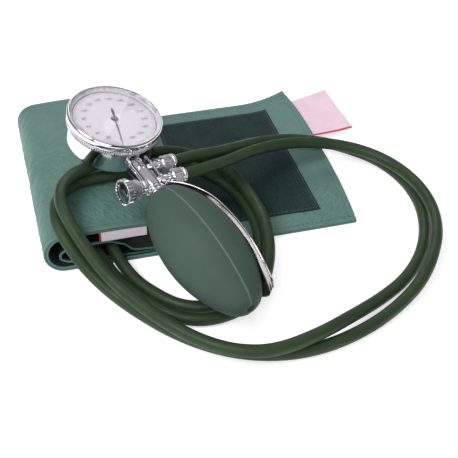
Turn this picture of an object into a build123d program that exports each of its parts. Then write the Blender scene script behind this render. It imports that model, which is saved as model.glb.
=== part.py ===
from build123d import *
from math import acos, asin, atan2, cos, degrees, hypot, pi, radians, sin, tan
import os

# Aneroid sphygmomanometer, palm pattern, lying on its folded cuff. Sizes are in millimetres.
# The cuff lies on Z = 0 with its width along Y. The hand unit is drawn in a frame of its own:
# X runs from the gauge to the bulb, Y towards the hose unions and Z out of the dial.

# Place of the hand unit on the cuff
unit_place = (-45.5, -22.0, 55.4)
unit_yaw = -70.3
unit_pitch = 12.4
unit_roll = -7.9

# Gauge case, bezel and glass
case_radius = 26.5
case_wall = 1.2
case_bottom = -10.4
case_top = 11.6
case_corner = 7.0
screw_head_radius = 1.9
screw_head_height = 0.9
screw_slot = 0.4
bezel_overhang = 2.2
knurl_overhang = 1.7
knurl_band_low = 6.6
knurl_band_high = 10.4
band_groove = 0.5
bezel_thread_gap = 0.1
bezel_lip_reach = 0.5
bezel_lip_thickness = 0.6
gasket_thickness = 0.9
gasket_width = 2.4
glass_overhang = 1.3
glass_thickness = 2.1
glass_bevel = 0.3
glass_side_gap = 0.1

# Dial and pointer
dial_edge_gap = 0.3
dial_thickness = 0.6
dial_height = 8.0
dial_bore = 1.1
dial_foot_radius = 0.8
dial_foot_share = 0.7
dial_zero_bearing = -18.0
pointer_length = 21.5
pointer_tail = 9.0
pointer_width = 1.5
pointer_tip_width = 0.4
pointer_thickness = 0.4
pointer_height = 9.2
pointer_hub_radius = 1.8
pointer_hub_height = 1.6

# Movement: plates, wheels, rocker and hairspring
base_plate_radius = 20.0
plate_thickness = 0.7
base_plate_height = 1.9
plate_spacing = 3.0
post_radius = 1.5
post_circle = 17.0
post_bearings = (130.0, 20.0, 265.0)
top_plate_rim = 2.6
gear_module = 0.3
pinion_teeth = 12
sector_teeth = 96
sector_teeth_cut = 15
sector_swing = 42.1875
sector_bearing = 204.4
gear_backlash = 0.035
gear_spread = 0.04
gear_thickness = 0.7
sector_lift = 0.8
sector_hub_radius = 2.2
sector_rim = 1.6
sector_spoke = 1.5
arbor_radius = 0.6
arbor_pivot_radius = 0.4
pivot_gap = 0.05
tail_reach = 2.65
tail_width = 1.2
tail_pin_radius = 0.45
rocker_axis_height = -0.9
rocker_shaft_radius = 0.6
rocker_shaft_ends = (-19.6, 2.9)
rocker_offset = 1.45
rocker_arm_width = 1.0
rocker_arm_thickness = 0.7
rocker_push_height = 5.3
lug_thickness = 0.8
lug_radius = 1.5
hairspring_inner = 1.3
hairspring_pitch = 0.65
hairspring_turns = 5
hairspring_wire = 0.15
hairspring_width = 0.5
collet_radius = 1.1
pinion_low_gap = 0.3
pinion_length = 1.5
stud_width = 1.2

# Pressure capsule
capsule_radius = 14.0
capsule_rim_height = -6.6
capsule_skin = 0.3
capsule_dish = 1.4
capsule_wave = 0.2
capsule_waves = 3
capsule_boss = 3.0
button_radius = 1.3
button_gap = 0.07
feed_radius = 0.9
feed_wall = 0.35
feed_drop_x = 19.5

# Valve block, nipple and hose unions
block_width = 10.4
block_length = 24.5
block_edge = 2.6
block_saddle = 2.5
bore_radius = 2.0
spigot_radius = 3.5
spigot_inset = 0.9
union_rear_reach = 7.0
union_front_reach = 19.0
union_stem_radius = 3.0
union_flange_radius = 4.4
union_flange_thickness = 1.8
union_neck_radius = 2.9
union_neck_end = 13.0
union_shoulder_radius = 3.6
union_shoulder = 0.9
union_nut_radius = 4.9
union_nut_length = 9.9
union_end = 24.0
running_gap = 0.08
end_gap = 0.1
nipple_flange_radius = 5.1
nipple_flange_chamfer = 0.3
nipple_flange_length = 4.4
nipple_radius = 4.6
nipple_length = 17.0
check_chamber_radius = 3.4
check_chamber_length = 3.2
check_disc_radius = 2.9
check_disc_thickness = 0.8
check_disc_gap = 0.2

# Release valve
valve_reach = 20.5
bonnet_flange_radius = 4.4
bonnet_flange_thickness = 3.4
bonnet_neck_radius = 3.0
bonnet_neck_end = 14.0
valve_seat_radius = 1.0
needle_radius = 1.2
needle_end = 17.0
knob_start = 9.5
knob_end = 19.8
knob_radius = 7.8
knob_waist_radius = 5.4
knob_inner_radius = 5.7
knob_rim_length = 3.4
knob_flutes = 24
knob_flute_radius = 0.55
valve_turn = 540.0
valve_pitch = 0.7

# Hand guard, called the spoon
spoon_thickness = 0.9
guard_corner = 1.2

# Bulb and its inlet valve
bulb_gap = 1.1
bulb_length = 92.0
bulb_wall = 2.2
bulb_lip = 1.6
bulb_hole_radius = 2.2
inlet_radius = 4.8
inlet_depth = 10.5
inlet_hole_radius = 1.2
inlet_chamber_radius = 2.2
inlet_foot = 1.2
ball_radius = 1.6
ball_gap = 0.15
filter_radius = 3.4
filter_thickness = 0.4

# Cuff
cuff_width = 150.0
cuff_fold_x = -97.0
cuff_height = 30.6
cuff_front_share = 0.845
cuff_sag_power = 1.2
cuff_thickness = 3.0
cuff_top_end = -21.0
cuff_crown = 0.8
flap_bend_x = 60.0
flap_reach = 34.5
flap_bow = 4.8
flap_rest_lift = 0.3
sole_trim = 0.4
flap_corner_lift = 7.5
patch_thickness = 1.1
patch_start_x = -3.0
patch_length = 80.0
patch_width = 120.0
patch_centre_y = 1.0
pocket_start_x = -88.0
pocket_end_x = -28.0
pocket_width = 146.0
pocket_height = 15.0
pocket_end_share = 0.86
pocket_wall = 1.2
bladder_gap = 0.3
bladder_width = 126.0
bladder_height = 9.5
bladder_wall = 1.2
port_radius = 3.0
port_bore = 1.6
tag_thickness = 0.6
inner_tag_start = -64.0
inner_tag_length = 28.0
inner_tag_drop = 6.0
inner_tag_inset = 1.2
outer_tag_start_y = 20.0
outer_tag_width = 42.0
outer_tag_reach = 30.0

# Hoses: outside diameter, and the points that the centre line turns at
hose_diameter = 7.4
bend_share = 0.45

os.makedirs("parts", exist_ok=True)

hand_unit = Location(unit_place) * Rot(0, 0, unit_yaw) * Rot(0, unit_pitch, 0) * Rot(unit_roll, 0, 0)


def save(name, solids, place=Location()):
    pieces = [place * solid for solid in solids]
    shape = pieces[0] if len(pieces) == 1 else Compound(children=pieces)
    shape.label = name
    export_step(shape, "parts/" + name + ".step")
    print(name, round(sum(piece.volume for piece in pieces), 1))


def one(shape):
    found = shape.solids()
    return found[0] if len(found) == 1 else max(found, key=lambda solid: solid.volume)


def turned(points, axis=Axis.Z):
    return revolve(make_face(Polyline(*points, close=True)), axis=axis)


def section(radius_height_pairs):
    return [(radius, 0, height) for radius, height in radius_height_pairs]


def disc(radius, low, high):
    return Pos(0, 0, low) * Cylinder(radius, high - low, align=(Align.CENTER, Align.CENTER, Align.MIN))


def rod(start, end, radius):
    along = Vector(*end) - Vector(*start)
    plane = Plane(origin=start, z_dir=along)
    return extrude(plane * Circle(radius), along.length)


def polar(radius, bearing):
    return (radius * cos(radians(bearing)), radius * sin(radians(bearing)))


# Places along the hand unit, counted from the case
case_inner = case_radius - case_wall
bezel_radius = case_radius + bezel_overhang
knurl_band_radius = case_radius + knurl_overhang
glass_radius = case_radius + glass_overhang
dial_radius = case_inner - dial_edge_gap
spigot_start = case_inner - spigot_inset
union_rear_x = case_radius + union_rear_reach
union_front_x = case_radius + union_front_reach
valve_x = case_radius + valve_reach
block_end = case_radius + block_length
nipple_flange_end = block_end + nipple_flange_length
nipple_end = block_end + nipple_length
bulb_start = nipple_flange_end + bulb_gap
bulb_end = bulb_start + bulb_length

# Gauge case
case_floor = case_bottom + case_wall
case_outside = disc(case_radius, case_bottom, case_top)
case_outside = fillet(case_outside.edges().group_by(Axis.Z)[0], case_corner)
case_inside = disc(case_inner, case_floor, case_top + 1)
case_inside = chamfer(case_inside.edges().group_by(Axis.Z)[0], (case_corner - case_wall) * 0.75)
gauge_case = case_outside - case_inside
gauge_case -= rod((spigot_start, 0, 0), (case_radius + 1, 0, 0), spigot_radius)
save("gauge_case", [one(gauge_case)], hand_unit)

# Three screws come up through the case floor into the movement posts
screws = []
for bearing in post_bearings:
    x, y = polar(post_circle, bearing)
    head = disc(screw_head_radius, case_bottom - screw_head_height, case_bottom)
    head = chamfer(head.edges().group_by(Axis.Z)[0], screw_head_height / 3)
    slot = Box(screw_head_radius * 3, screw_slot, screw_slot * 2)
    head -= Pos(0, 0, case_bottom - screw_head_height) * slot
    screws.append(Pos(x, y, 0) * one(head))
save("case_screws", screws, hand_unit)

# Bezel ring with its knurled band, the gasket and the glass
gasket_top = case_top + gasket_thickness
glass_top = gasket_top + glass_thickness
bezel_top = glass_top + bezel_lip_thickness
recess_radius = glass_radius + glass_side_gap
bezel_profile = section([
    (case_radius + bezel_thread_gap, knurl_band_low),
    (knurl_band_radius - 0.4, knurl_band_low),
    (knurl_band_radius, knurl_band_low + 0.4),
    (knurl_band_radius, knurl_band_high - 0.3),
    (knurl_band_radius - band_groove, knurl_band_high),
    (knurl_band_radius - band_groove, knurl_band_high + 0.4),
    (bezel_radius - 0.3, knurl_band_high + 0.5),
    (bezel_radius, knurl_band_high + 0.9),
    (bezel_radius, bezel_top - 1.0),
    (bezel_radius - 0.3, bezel_top - 0.3),
    (bezel_radius - 0.9, bezel_top),
    (glass_radius - bezel_lip_reach + 0.2, bezel_top),
    (glass_radius - bezel_lip_reach, bezel_top - 0.2),
    (glass_radius - bezel_lip_reach, glass_top),
    (recess_radius, glass_top),
    (recess_radius, case_top),
    (case_radius + bezel_thread_gap, case_top),
])
save("bezel_ring", [turned(bezel_profile)], hand_unit)

gasket_outer = glass_radius
gasket = disc(gasket_outer, case_top, gasket_top) - disc(gasket_outer - gasket_width, case_top, gasket_top)
save("glass_gasket", [one(gasket)], hand_unit)

glass = disc(glass_radius, gasket_top, glass_top)
glass = chamfer(glass.edges().group_by(Axis.Z)[-1], glass_bevel)
save("gauge_glass", [glass], hand_unit)

# Movement places that the wheels, plates and rocker share
base_top = base_plate_height + plate_thickness
top_low = base_top + plate_spacing
top_high = top_low + plate_thickness
gear_ratio = sector_teeth / pinion_teeth
pinion_pitch_radius = gear_module * pinion_teeth / 2
sector_pitch_radius = gear_module * sector_teeth / 2
centre_distance = pinion_pitch_radius + sector_pitch_radius + gear_spread
sector_x, sector_y = polar(centre_distance, sector_bearing)
sector_rest = sector_bearing - 180 - sector_swing / 2
tail_x = sector_x - tail_reach
rocker_y = sector_y + rocker_offset
rocker_half = degrees(asin(tail_reach * sin(radians(sector_swing / 2)) / rocker_push_height))
hub_high = top_low - 0.3
tail_pin_low = base_top + sector_lift + gear_thickness


def tooth_outline(teeth, count, addendum, dedendum, start_bearing):
    pitch_radius = gear_module * teeth / 2
    base_radius = pitch_radius * cos(radians(20))
    tip_radius = pitch_radius + addendum
    root_radius = pitch_radius - dedendum
    involute = tan(radians(20)) - radians(20)
    half_tooth = pi / (2 * teeth) - gear_backlash / pitch_radius
    outline = []
    for index in range(count):
        centre = radians(start_bearing + 360 * index / teeth)
        flank = [(root_radius, half_tooth + involute)]
        for step in range(3):
            radius = max(base_radius, root_radius) + (tip_radius - max(base_radius, root_radius)) * step / 2
            pressure = acos(min(1, base_radius / radius))
            flank.append((radius, half_tooth + involute - (tan(pressure) - pressure)))
        for radius, offset in flank:
            outline.append((radius * cos(centre - offset), radius * sin(centre - offset)))
        for radius, offset in reversed(flank):
            outline.append((radius * cos(centre + offset), radius * sin(centre + offset)))
    return outline


# Sector gear: toothed rim, two spokes, hub and tail with its push pin
tooth_pitch = 360 / sector_teeth
first_tooth = -tooth_pitch * (sector_teeth_cut - 1) / 2
teeth_points = tooth_outline(
    sector_teeth, sector_teeth_cut, gear_module * 0.8, gear_module * 1.15, first_tooth)
rim_half = radians(tooth_pitch * sector_teeth_cut / 2)
rim_inner = sector_pitch_radius - gear_module * 1.15 - sector_rim
rim_points = [
    (rim_inner * cos(rim_half * side), rim_inner * sin(rim_half * side))
    for side in (1, 0.5, 0, -0.5, -1)
]
sector_face = make_face(Polyline(*teeth_points, *rim_points, close=True))
for spoke_side in (-0.8, 0.8):
    spoke = Pos(rim_inner / 2 + 0.4, 0) * Rectangle(rim_inner + 0.8, sector_spoke)
    sector_face += Rot(0, 0, degrees(rim_half) * spoke_side) * spoke
sector_face += Circle(sector_hub_radius)
tail_bearing = 180 - (sector_bearing - 180)
tail_face = Pos(tail_reach / 2, 0) * Rectangle(tail_reach, tail_width)
tail_face += Pos(tail_reach, 0) * Circle(tail_width / 2)
sector_face += Rot(0, 0, tail_bearing) * tail_face
sector_face -= Circle(arbor_radius)
sector_gear = Pos(0, 0, base_top + sector_lift) * extrude(sector_face, gear_thickness)
at_sector = hand_unit * Pos(sector_x, sector_y, 0) * Rot(0, 0, sector_rest)
save("sector_gear", [one(sector_gear)], at_sector)

tail_pin = Rot(0, 0, tail_bearing) * Pos(tail_reach, 0, 0) * disc(
    tail_pin_radius, tail_pin_low, tail_pin_low + 1.0)
save("sector_pin", [tail_pin], at_sector)

arbor_shoulder = 0.15
sector_arbor = turned(section([
    (0, base_plate_height),
    (arbor_pivot_radius, base_plate_height),
    (arbor_pivot_radius, base_top + arbor_shoulder),
    (arbor_radius, base_top + arbor_shoulder),
    (arbor_radius, top_low - arbor_shoulder),
    (arbor_pivot_radius, top_low - arbor_shoulder),
    (arbor_pivot_radius, top_high),
    (0, top_high),
]))
save("sector_arbor", [sector_arbor], at_sector)

# Pinion arbor, cut in one piece with its leaves, and the pointer pressed on its top
lead = sector_rest + 360 / sector_teeth * 5 - (sector_bearing - 180)
pinion_phase = sector_bearing - lead * gear_ratio + 180 / pinion_teeth
pinion_points = tooth_outline(
    pinion_teeth, pinion_teeth, gear_module * 0.8, gear_module * 1.15, pinion_phase)
pinion_low = base_top + pinion_low_gap
pinion_high = pinion_low + pinion_length
shoulder_top = pinion_high + 0.15
hairspring_height = shoulder_top + 0.25
pinion_face = make_face(Polyline(*pinion_points, close=True))
pinion_leaves = Pos(0, 0, pinion_low) * extrude(pinion_face, pinion_high - pinion_low)
arbor_top = pointer_height + pointer_hub_height - 0.4
pinion_arbor = turned(section([
    (0, base_plate_height),
    (arbor_pivot_radius, base_plate_height),
    (arbor_pivot_radius, base_top + arbor_shoulder),
    (arbor_radius + 0.2, base_top + arbor_shoulder),
    (arbor_radius + 0.2, shoulder_top),
    (arbor_radius, shoulder_top),
    (arbor_radius, arbor_top),
    (0, arbor_top),
]))
save("pinion_arbor", [one(pinion_arbor + pinion_leaves)], hand_unit)

collet = disc(collet_radius, hairspring_height - 0.2, hairspring_height + hairspring_width + 0.1)
collet -= disc(arbor_radius, 0, top_high)
save("hairspring_collet", [one(collet)], hand_unit)

hub_low = pointer_height - 0.4
hub_top = hub_low + pointer_hub_height
pointer_blade = make_face(Polyline(
    (0, pointer_width / 2), (pointer_length - 1.5, pointer_tip_width), (pointer_length, 0),
    (pointer_length - 1.5, -pointer_tip_width), (0, -pointer_width / 2),
    (-pointer_tail * 0.45, -pointer_width * 0.3), (-pointer_tail, -pointer_width * 0.55),
    (-pointer_tail - 0.4, 0),
    (-pointer_tail, pointer_width * 0.55), (-pointer_tail * 0.45, pointer_width * 0.3), close=True))
pointer = Pos(0, 0, pointer_height) * extrude(pointer_blade, pointer_thickness)
hub = chamfer(disc(pointer_hub_radius, hub_low, hub_top).edges().group_by(Axis.Z)[-1], 0.3)
pointer = pointer + hub - disc(arbor_radius, hub_low - 1, arbor_top)
save("pointer", [Rot(0, 0, dial_zero_bearing) * one(pointer)], hand_unit)

# Base plate with the lugs of the rocking shaft, and the slot that the upright arm passes through
post_points = [polar(post_circle, bearing) for bearing in post_bearings]
base_plate = disc(base_plate_radius, base_plate_height, base_top)
lug_places = (rocker_shaft_ends[0] + 0.5, rocker_shaft_ends[1] - 0.5 - lug_thickness)
for lug_x in lug_places:
    lug_profile = Plane.YZ * (
        Pos(rocker_y, rocker_axis_height) * Circle(lug_radius)
        + Pos(rocker_y, (rocker_axis_height + base_top) / 2)
        * Rectangle(lug_radius * 2, base_top - rocker_axis_height)
    )
    base_plate += Pos(lug_x, 0, 0) * extrude(lug_profile, lug_thickness)
shaft_line = tuple(
    (rocker_shaft_ends[end] + over, rocker_y, rocker_axis_height) for end, over in ((0, -1), (1, 1)))
base_plate -= rod(*shaft_line, rocker_shaft_radius + pivot_gap)
slot_long = rocker_arm_width + 1.0
slot_wide = 2 * (base_top - rocker_axis_height) * sin(radians(rocker_half)) + rocker_arm_thickness + 1.0
base_plate -= Pos(tail_x, rocker_y, base_plate_height) * Box(slot_long, slot_wide, 4)
base_plate -= disc(arbor_pivot_radius + pivot_gap, 0, base_top + 1)
base_plate -= Pos(sector_x, sector_y, 0) * disc(arbor_pivot_radius + pivot_gap, 0, base_top + 1)
window = Pos(base_plate_radius / 2, -post_circle / 4) * SlotOverall(
    base_plate_radius * 0.45, base_plate_radius / 4)
base_plate -= Pos(0, 0, base_plate_height - 1) * extrude(window, plate_thickness + 2)
save("movement_base_plate", [one(base_plate)], hand_unit)

# Posts below the base plate and pillars above it
posts = [Pos(x, y, 0) * disc(post_radius, case_floor, base_plate_height) for x, y in post_points]
save("movement_posts", posts, hand_unit)

pillar_radius = 1.2
pillar_waist = 0.9
pillars = []
for x, y in post_points:
    pillar = turned(section([
        (0, base_top), (pillar_radius, base_top), (pillar_radius, base_top + 0.6),
        (pillar_waist, base_top + 0.9), (pillar_waist, top_low - 0.9),
        (pillar_radius, top_low - 0.6), (pillar_radius, top_low), (0, top_low),
    ]))
    pillars.append(Pos(x, y, 0) * pillar)
save("plate_pillars", pillars, hand_unit)

# Top plate: the hull of its pillar and pivot bosses
plate_bosses = [Pos(x, y) * Circle(top_plate_rim) for x, y in post_points + [(sector_x, sector_y)]]
top_plate = Pos(0, 0, top_low) * extrude(make_hull(Sketch(children=plate_bosses).edges()), plate_thickness)
top_plate -= disc(arbor_radius + pivot_gap, top_low - 1, top_high + 1)
top_plate -= Pos(sector_x, sector_y, 0) * disc(arbor_pivot_radius + pivot_gap, top_low - 1, top_high + 1)
save("movement_top_plate", [one(top_plate)], hand_unit)

# Hairspring: a flat spiral from the collet to a stud under the top plate
spiral_points = []
spiral_steps = hairspring_turns * 12
for step in range(spiral_steps + 1):
    radius = hairspring_inner + hairspring_pitch * step / 12
    bearing = 30.0 * step
    spiral_points.append(polar(radius, bearing))
spiral_half = hairspring_wire / 2
outer_side = [polar(hypot(x, y) + spiral_half, degrees(atan2(y, x))) for x, y in spiral_points]
inner_side = [polar(hypot(x, y) - spiral_half, degrees(atan2(y, x))) for x, y in spiral_points]
spring_face = make_face(Polyline(*outer_side, *reversed(inner_side), close=True))
spring = Pos(0, 0, hairspring_height) * extrude(spring_face, hairspring_width)
save("hairspring", [one(spring)], hand_unit)

stud_radius_at = hairspring_inner + hairspring_pitch * hairspring_turns + spiral_half
stud = Pos(stud_radius_at + stud_width / 2, 0, (hairspring_height + top_low) / 2)
stud = stud * Box(stud_width, stud_width, top_low - hairspring_height)
save("hairspring_stud", [stud], hand_unit)

# Rocking shaft with its two arms, drawn at mid swing and turned back to rest
rocker = rod((rocker_shaft_ends[0], 0, 0), (rocker_shaft_ends[1], 0, 0), rocker_shaft_radius)
button_reach = -rocker_y
lift_arm = Pos(0, button_reach / 2, 0) * Box(rocker_arm_width, button_reach, rocker_arm_thickness)
lift_arm += Pos(0, button_reach, 0) * Cylinder(button_radius, rocker_arm_thickness)
push_top = rocker_push_height + 0.7
push_arm = Pos(tail_x, 0, push_top / 2) * Box(rocker_arm_width, rocker_arm_thickness, push_top)
rocker = rocker + lift_arm + push_arm
rocker_at = Pos(0, rocker_y, rocker_axis_height) * Rot(-rocker_half, 0, 0)
save("rocking_shaft", [one(rocker_at * rocker)], hand_unit)

# Capsule: two waved skins joined at the rim, on a stud, with a button on top
def capsule_skin_solid(height_at_boss, height_at_rim, side):
    upper = []
    lower = []
    steps = capsule_waves * 2
    for step in range(steps + 1):
        share = step / steps
        radius = capsule_boss + (capsule_radius - 0.6 - capsule_boss) * share
        level = height_at_boss + (height_at_rim - height_at_boss) * share
        level += side * capsule_wave * (step % 2)
        upper.append((radius, level + capsule_skin / 2))
        lower.append((radius, level - capsule_skin / 2))
    rim = [(capsule_radius, height_at_rim + side * capsule_skin / 2) for side in (1, -1)]
    centre_top = [(0, height_at_boss + capsule_skin / 2)]
    centre_low = [(0, height_at_boss - capsule_skin / 2)]
    return turned(section(centre_top + upper + rim + list(reversed(lower)) + centre_low))


lower_rim = capsule_rim_height - capsule_skin / 2
upper_rim = capsule_rim_height + capsule_skin / 2
lower_boss = lower_rim - capsule_dish
upper_boss = upper_rim + capsule_dish
save("capsule_lower", [capsule_skin_solid(lower_boss, lower_rim, 1)], hand_unit)
save("capsule_upper", [capsule_skin_solid(upper_boss, upper_rim, -1)], hand_unit)

capsule_seat = lower_boss - capsule_skin / 2
stud_solid = turned(section([
    (0, case_floor), (capsule_boss + 1, case_floor), (capsule_boss + 1, case_floor + 0.5),
    (capsule_boss, case_floor + 0.5), (capsule_boss, capsule_seat), (0, capsule_seat),
]))
save("capsule_stud", [stud_solid], hand_unit)

button_low = upper_boss + capsule_skin / 2
pad_edge_low = (button_reach + button_radius) * sin(radians(rocker_half)) + rocker_arm_thickness / 2
button_top = rocker_axis_height - pad_edge_low - button_gap
button = turned(section([
    (0, button_low), (capsule_boss - 0.3, button_low), (capsule_boss - 0.3, button_low + 0.5),
    (button_radius, button_low + 0.5), (button_radius, button_top - 0.3), (button_radius - 0.3, button_top),
    (0, button_top),
]))
save("capsule_button", [button], hand_unit)

# Feed tube from the spigot down to the capsule rim, with mitred corners
feed_path = Polyline(
    (spigot_start, 0, 0), (feed_drop_x, 0, 0), (feed_drop_x, 0, capsule_rim_height),
    (capsule_radius, 0, capsule_rim_height))
feed_plane = Plane(origin=(spigot_start, 0, 0), z_dir=(-1, 0, 0))
feed_ring = feed_plane * (Circle(feed_radius) - Circle(feed_radius - feed_wall))
save("capsule_feed", [one(sweep(feed_ring, path=feed_path, transition=Transition.RIGHT))], hand_unit)

# Dial plate on three feet
dial_low = dial_height - dial_thickness
dial_plate = disc(dial_radius, dial_low, dial_height) - disc(dial_bore, dial_low, dial_height)
for x, y in post_points:
    foot_place = Pos(x * dial_foot_share, y * dial_foot_share, 0)
    dial_plate += foot_place * disc(dial_foot_radius, top_high, dial_low)
save("dial_plate", [one(dial_plate)], hand_unit)

# Valve block: a rounded square bar, saddled on the case and drilled for its stations
half_block = block_width / 2
block_profile = Plane.YZ * RectangleRounded(block_width, block_width, block_edge)
block = Pos(case_radius - block_saddle, 0, 0) * extrude(block_profile, block_length + block_saddle)
block = chamfer(block.edges().group_by(Axis.X)[-1], 0.5)
block -= disc(case_radius, -block_width, block_width)
block += rod((spigot_start, 0, 0), (case_radius + 2, 0, 0), spigot_radius)
block -= rod((spigot_start - 1, 0, 0), (block_end + 1, 0, 0), bore_radius)
for station in (union_rear_x, union_front_x):
    block -= rod((station, 0, 0), (station, half_block + 1, 0), union_stem_radius)
block -= rod((valve_x, 0, 0), (valve_x, -half_block - 1, 0), bonnet_neck_radius)
save("valve_block", [one(block)], hand_unit)

# Hose unions: a stem through the guard, a flange, a neck with a shoulder and a loose knurled nut
guard_face = half_block + spoon_thickness
nut_start = union_end - end_gap - union_nut_length


def hose_union(station):
    profile = [
        (bore_radius - 0.6, bore_radius), (union_stem_radius, bore_radius), (union_stem_radius, guard_face),
        (union_flange_radius - 0.3, guard_face), (union_flange_radius, guard_face + 0.3),
        (union_flange_radius, guard_face + union_flange_thickness - 0.3),
        (union_flange_radius - 0.3, guard_face + union_flange_thickness),
        (union_neck_radius, guard_face + union_flange_thickness),
        (union_neck_radius, union_neck_end - union_shoulder - end_gap),
        (union_shoulder_radius, union_neck_end - union_shoulder - end_gap),
        (union_shoulder_radius, nut_start - end_gap),
        (union_neck_radius, nut_start - end_gap),
        (union_neck_radius, union_end), (bore_radius - 0.6, union_end),
    ]
    solid = turned([(radius, reach, 0) for radius, reach in profile], Axis.Y)
    return Pos(station, 0, 0) * solid


def union_nut(station):
    bore = union_neck_radius + running_gap
    edge = 0.6
    profile = [
        (bore, nut_start), (union_nut_radius - edge, nut_start), (union_nut_radius, nut_start + edge),
        (union_nut_radius, nut_start + union_nut_length * 0.68),
        (union_nut_radius - 0.5, nut_start + union_nut_length * 0.72),
        (union_nut_radius - 0.5, nut_start + union_nut_length * 0.78),
        (union_nut_radius - 0.1, nut_start + union_nut_length * 0.82),
        (union_nut_radius - 0.1, nut_start + union_nut_length - edge),
        (union_nut_radius - 0.7, nut_start + union_nut_length), (bore, nut_start + union_nut_length),
    ]
    solid = turned([(radius, reach, 0) for radius, reach in profile], Axis.Y)
    return Pos(station, 0, 0) * solid


save("union_rear", [hose_union(union_rear_x)], hand_unit)
save("union_front", [hose_union(union_front_x)], hand_unit)
save("union_nut_rear", [union_nut(union_rear_x)], hand_unit)
save("union_nut_front", [union_nut(union_front_x)], hand_unit)

# Bulb nipple with the chamber of the outlet check disc
chamber_end = block_end + check_chamber_length
nipple = turned([(reach, radius, 0) for reach, radius in (
    (block_end, check_chamber_radius), (block_end, nipple_flange_radius - nipple_flange_chamfer),
    (block_end + nipple_flange_chamfer, nipple_flange_radius),
    (nipple_flange_end - nipple_flange_chamfer, nipple_flange_radius),
    (nipple_flange_end, nipple_flange_radius - nipple_flange_chamfer), (nipple_flange_end, nipple_radius),
    (nipple_end - 1.2, nipple_radius), (nipple_end, nipple_radius - 1.0),
    (nipple_end, bore_radius), (chamber_end, bore_radius), (chamber_end, check_chamber_radius),
)], Axis.X)
save("bulb_nipple", [nipple], hand_unit)

check_high = chamber_end - check_disc_gap
check_disc = rod((check_high - check_disc_thickness, 0, 0), (check_high, 0, 0), check_disc_radius)
save("outlet_check_disc", [check_disc], hand_unit)

# Release valve: bonnet, needle and fluted knob, along -Y at the block's far end
bonnet_profile = [
    (needle_radius + running_gap, -half_block + 1.5), (bonnet_neck_radius, -half_block + 1.5),
    (bonnet_neck_radius, -half_block), (bonnet_flange_radius, -half_block),
    (bonnet_flange_radius, -half_block - bonnet_flange_thickness + 0.4),
    (bonnet_flange_radius - 0.4, -half_block - bonnet_flange_thickness),
    (bonnet_neck_radius, -half_block - bonnet_flange_thickness),
    (bonnet_neck_radius, -bonnet_neck_end), (needle_radius + running_gap, -bonnet_neck_end),
]
bonnet = Pos(valve_x, 0, 0) * turned([(radius, reach, 0) for radius, reach in bonnet_profile], Axis.Y)
save("valve_bonnet", [bonnet], hand_unit)

seat_profile = [
    (valve_seat_radius, -bore_radius), (bonnet_neck_radius, -bore_radius),
    (bonnet_neck_radius, -half_block + 1.5), (needle_radius + 0.4, -half_block + 1.5),
    (valve_seat_radius, -bore_radius - 0.8),
]
valve_seat = Pos(valve_x, 0, 0) * turned([(radius, reach, 0) for radius, reach in seat_profile], Axis.Y)
save("valve_seat", [valve_seat], hand_unit)

needle_profile = [
    (0, -bore_radius), (valve_seat_radius - 0.5, -bore_radius),
    (valve_seat_radius - 0.1, -bore_radius - 0.7),
    (needle_radius, -half_block + 1.4), (needle_radius, -needle_end + 0.4),
    (needle_radius - 0.4, -needle_end),
    (0, -needle_end),
]
needle = Pos(valve_x, 0, 0) * turned([(radius, reach, 0) for radius, reach in needle_profile], Axis.Y)
save("valve_needle", [needle], hand_unit)

valve_travel = valve_pitch * valve_turn / 360
knob_profile = [
    (bonnet_neck_radius + running_gap, -knob_start), (knob_inner_radius - 0.4, -knob_start),
    (knob_inner_radius, -knob_start - 0.4), (knob_waist_radius, -knob_start - 2.4),
    (knob_radius - 1.3, -knob_end + knob_rim_length + 1.6),
    (knob_radius - 0.2, -knob_end + knob_rim_length + 0.3),
    (knob_radius, -knob_end + knob_rim_length), (knob_radius, -knob_end + 0.5),
    (knob_radius - 0.5, -knob_end),
    (3.0, -knob_end), (2.4, -knob_end + 0.4), (0, -knob_end + 0.4),
    (0, -needle_end - valve_travel - 0.3),
    (needle_radius + 2 * running_gap, -needle_end - valve_travel - 0.3),
    (needle_radius + 2 * running_gap, -bonnet_neck_end - end_gap),
    (bonnet_neck_radius + running_gap, -bonnet_neck_end - end_gap),
]
knob = turned([(radius, reach, 0) for radius, reach in knob_profile], Axis.Y)
for flute in range(knob_flutes):
    x, z = polar(knob_radius + knob_flute_radius * 0.4, 360 * flute / knob_flutes)
    knob -= rod((x, -knob_end - 1, z), (x, -knob_end + knob_rim_length + 1.5, z), knob_flute_radius)
save("valve_knob", [one(Pos(valve_x, 0, 0) * knob)], hand_unit)


# Bulb: a turned rubber shell, closed by the nipple at one end and the inlet valve at the other
bulb_arcs = (
    # three points of each arc: reach along the bulb, radius
    ((0.0, 6.2), (5.6, 12.9), (16.8, 18.0)),
    ((16.8, 18.0), (34.0, 21.9), (52.0, 22.2)),
    ((52.0, 22.2), (71.5, 18.2), (87.0, 10.8)),
    ((87.0, 10.8), (90.8, 7.6), (bulb_length, bulb_hole_radius)),
)


def bulb_form(arcs, shrink):
    edges = []
    for arc in arcs:
        edges.append(ThreePointArc(*[(bulb_start + reach, radius - shrink, 0) for reach, radius in arc]))
    first, last = edges[0] @ 0, edges[-1] @ 1
    closing = Polyline(last, (last.X, 0, 0), (first.X, 0, 0), first)
    return revolve(make_face(Curve() + edges + [closing]), axis=Axis.X)


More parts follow.
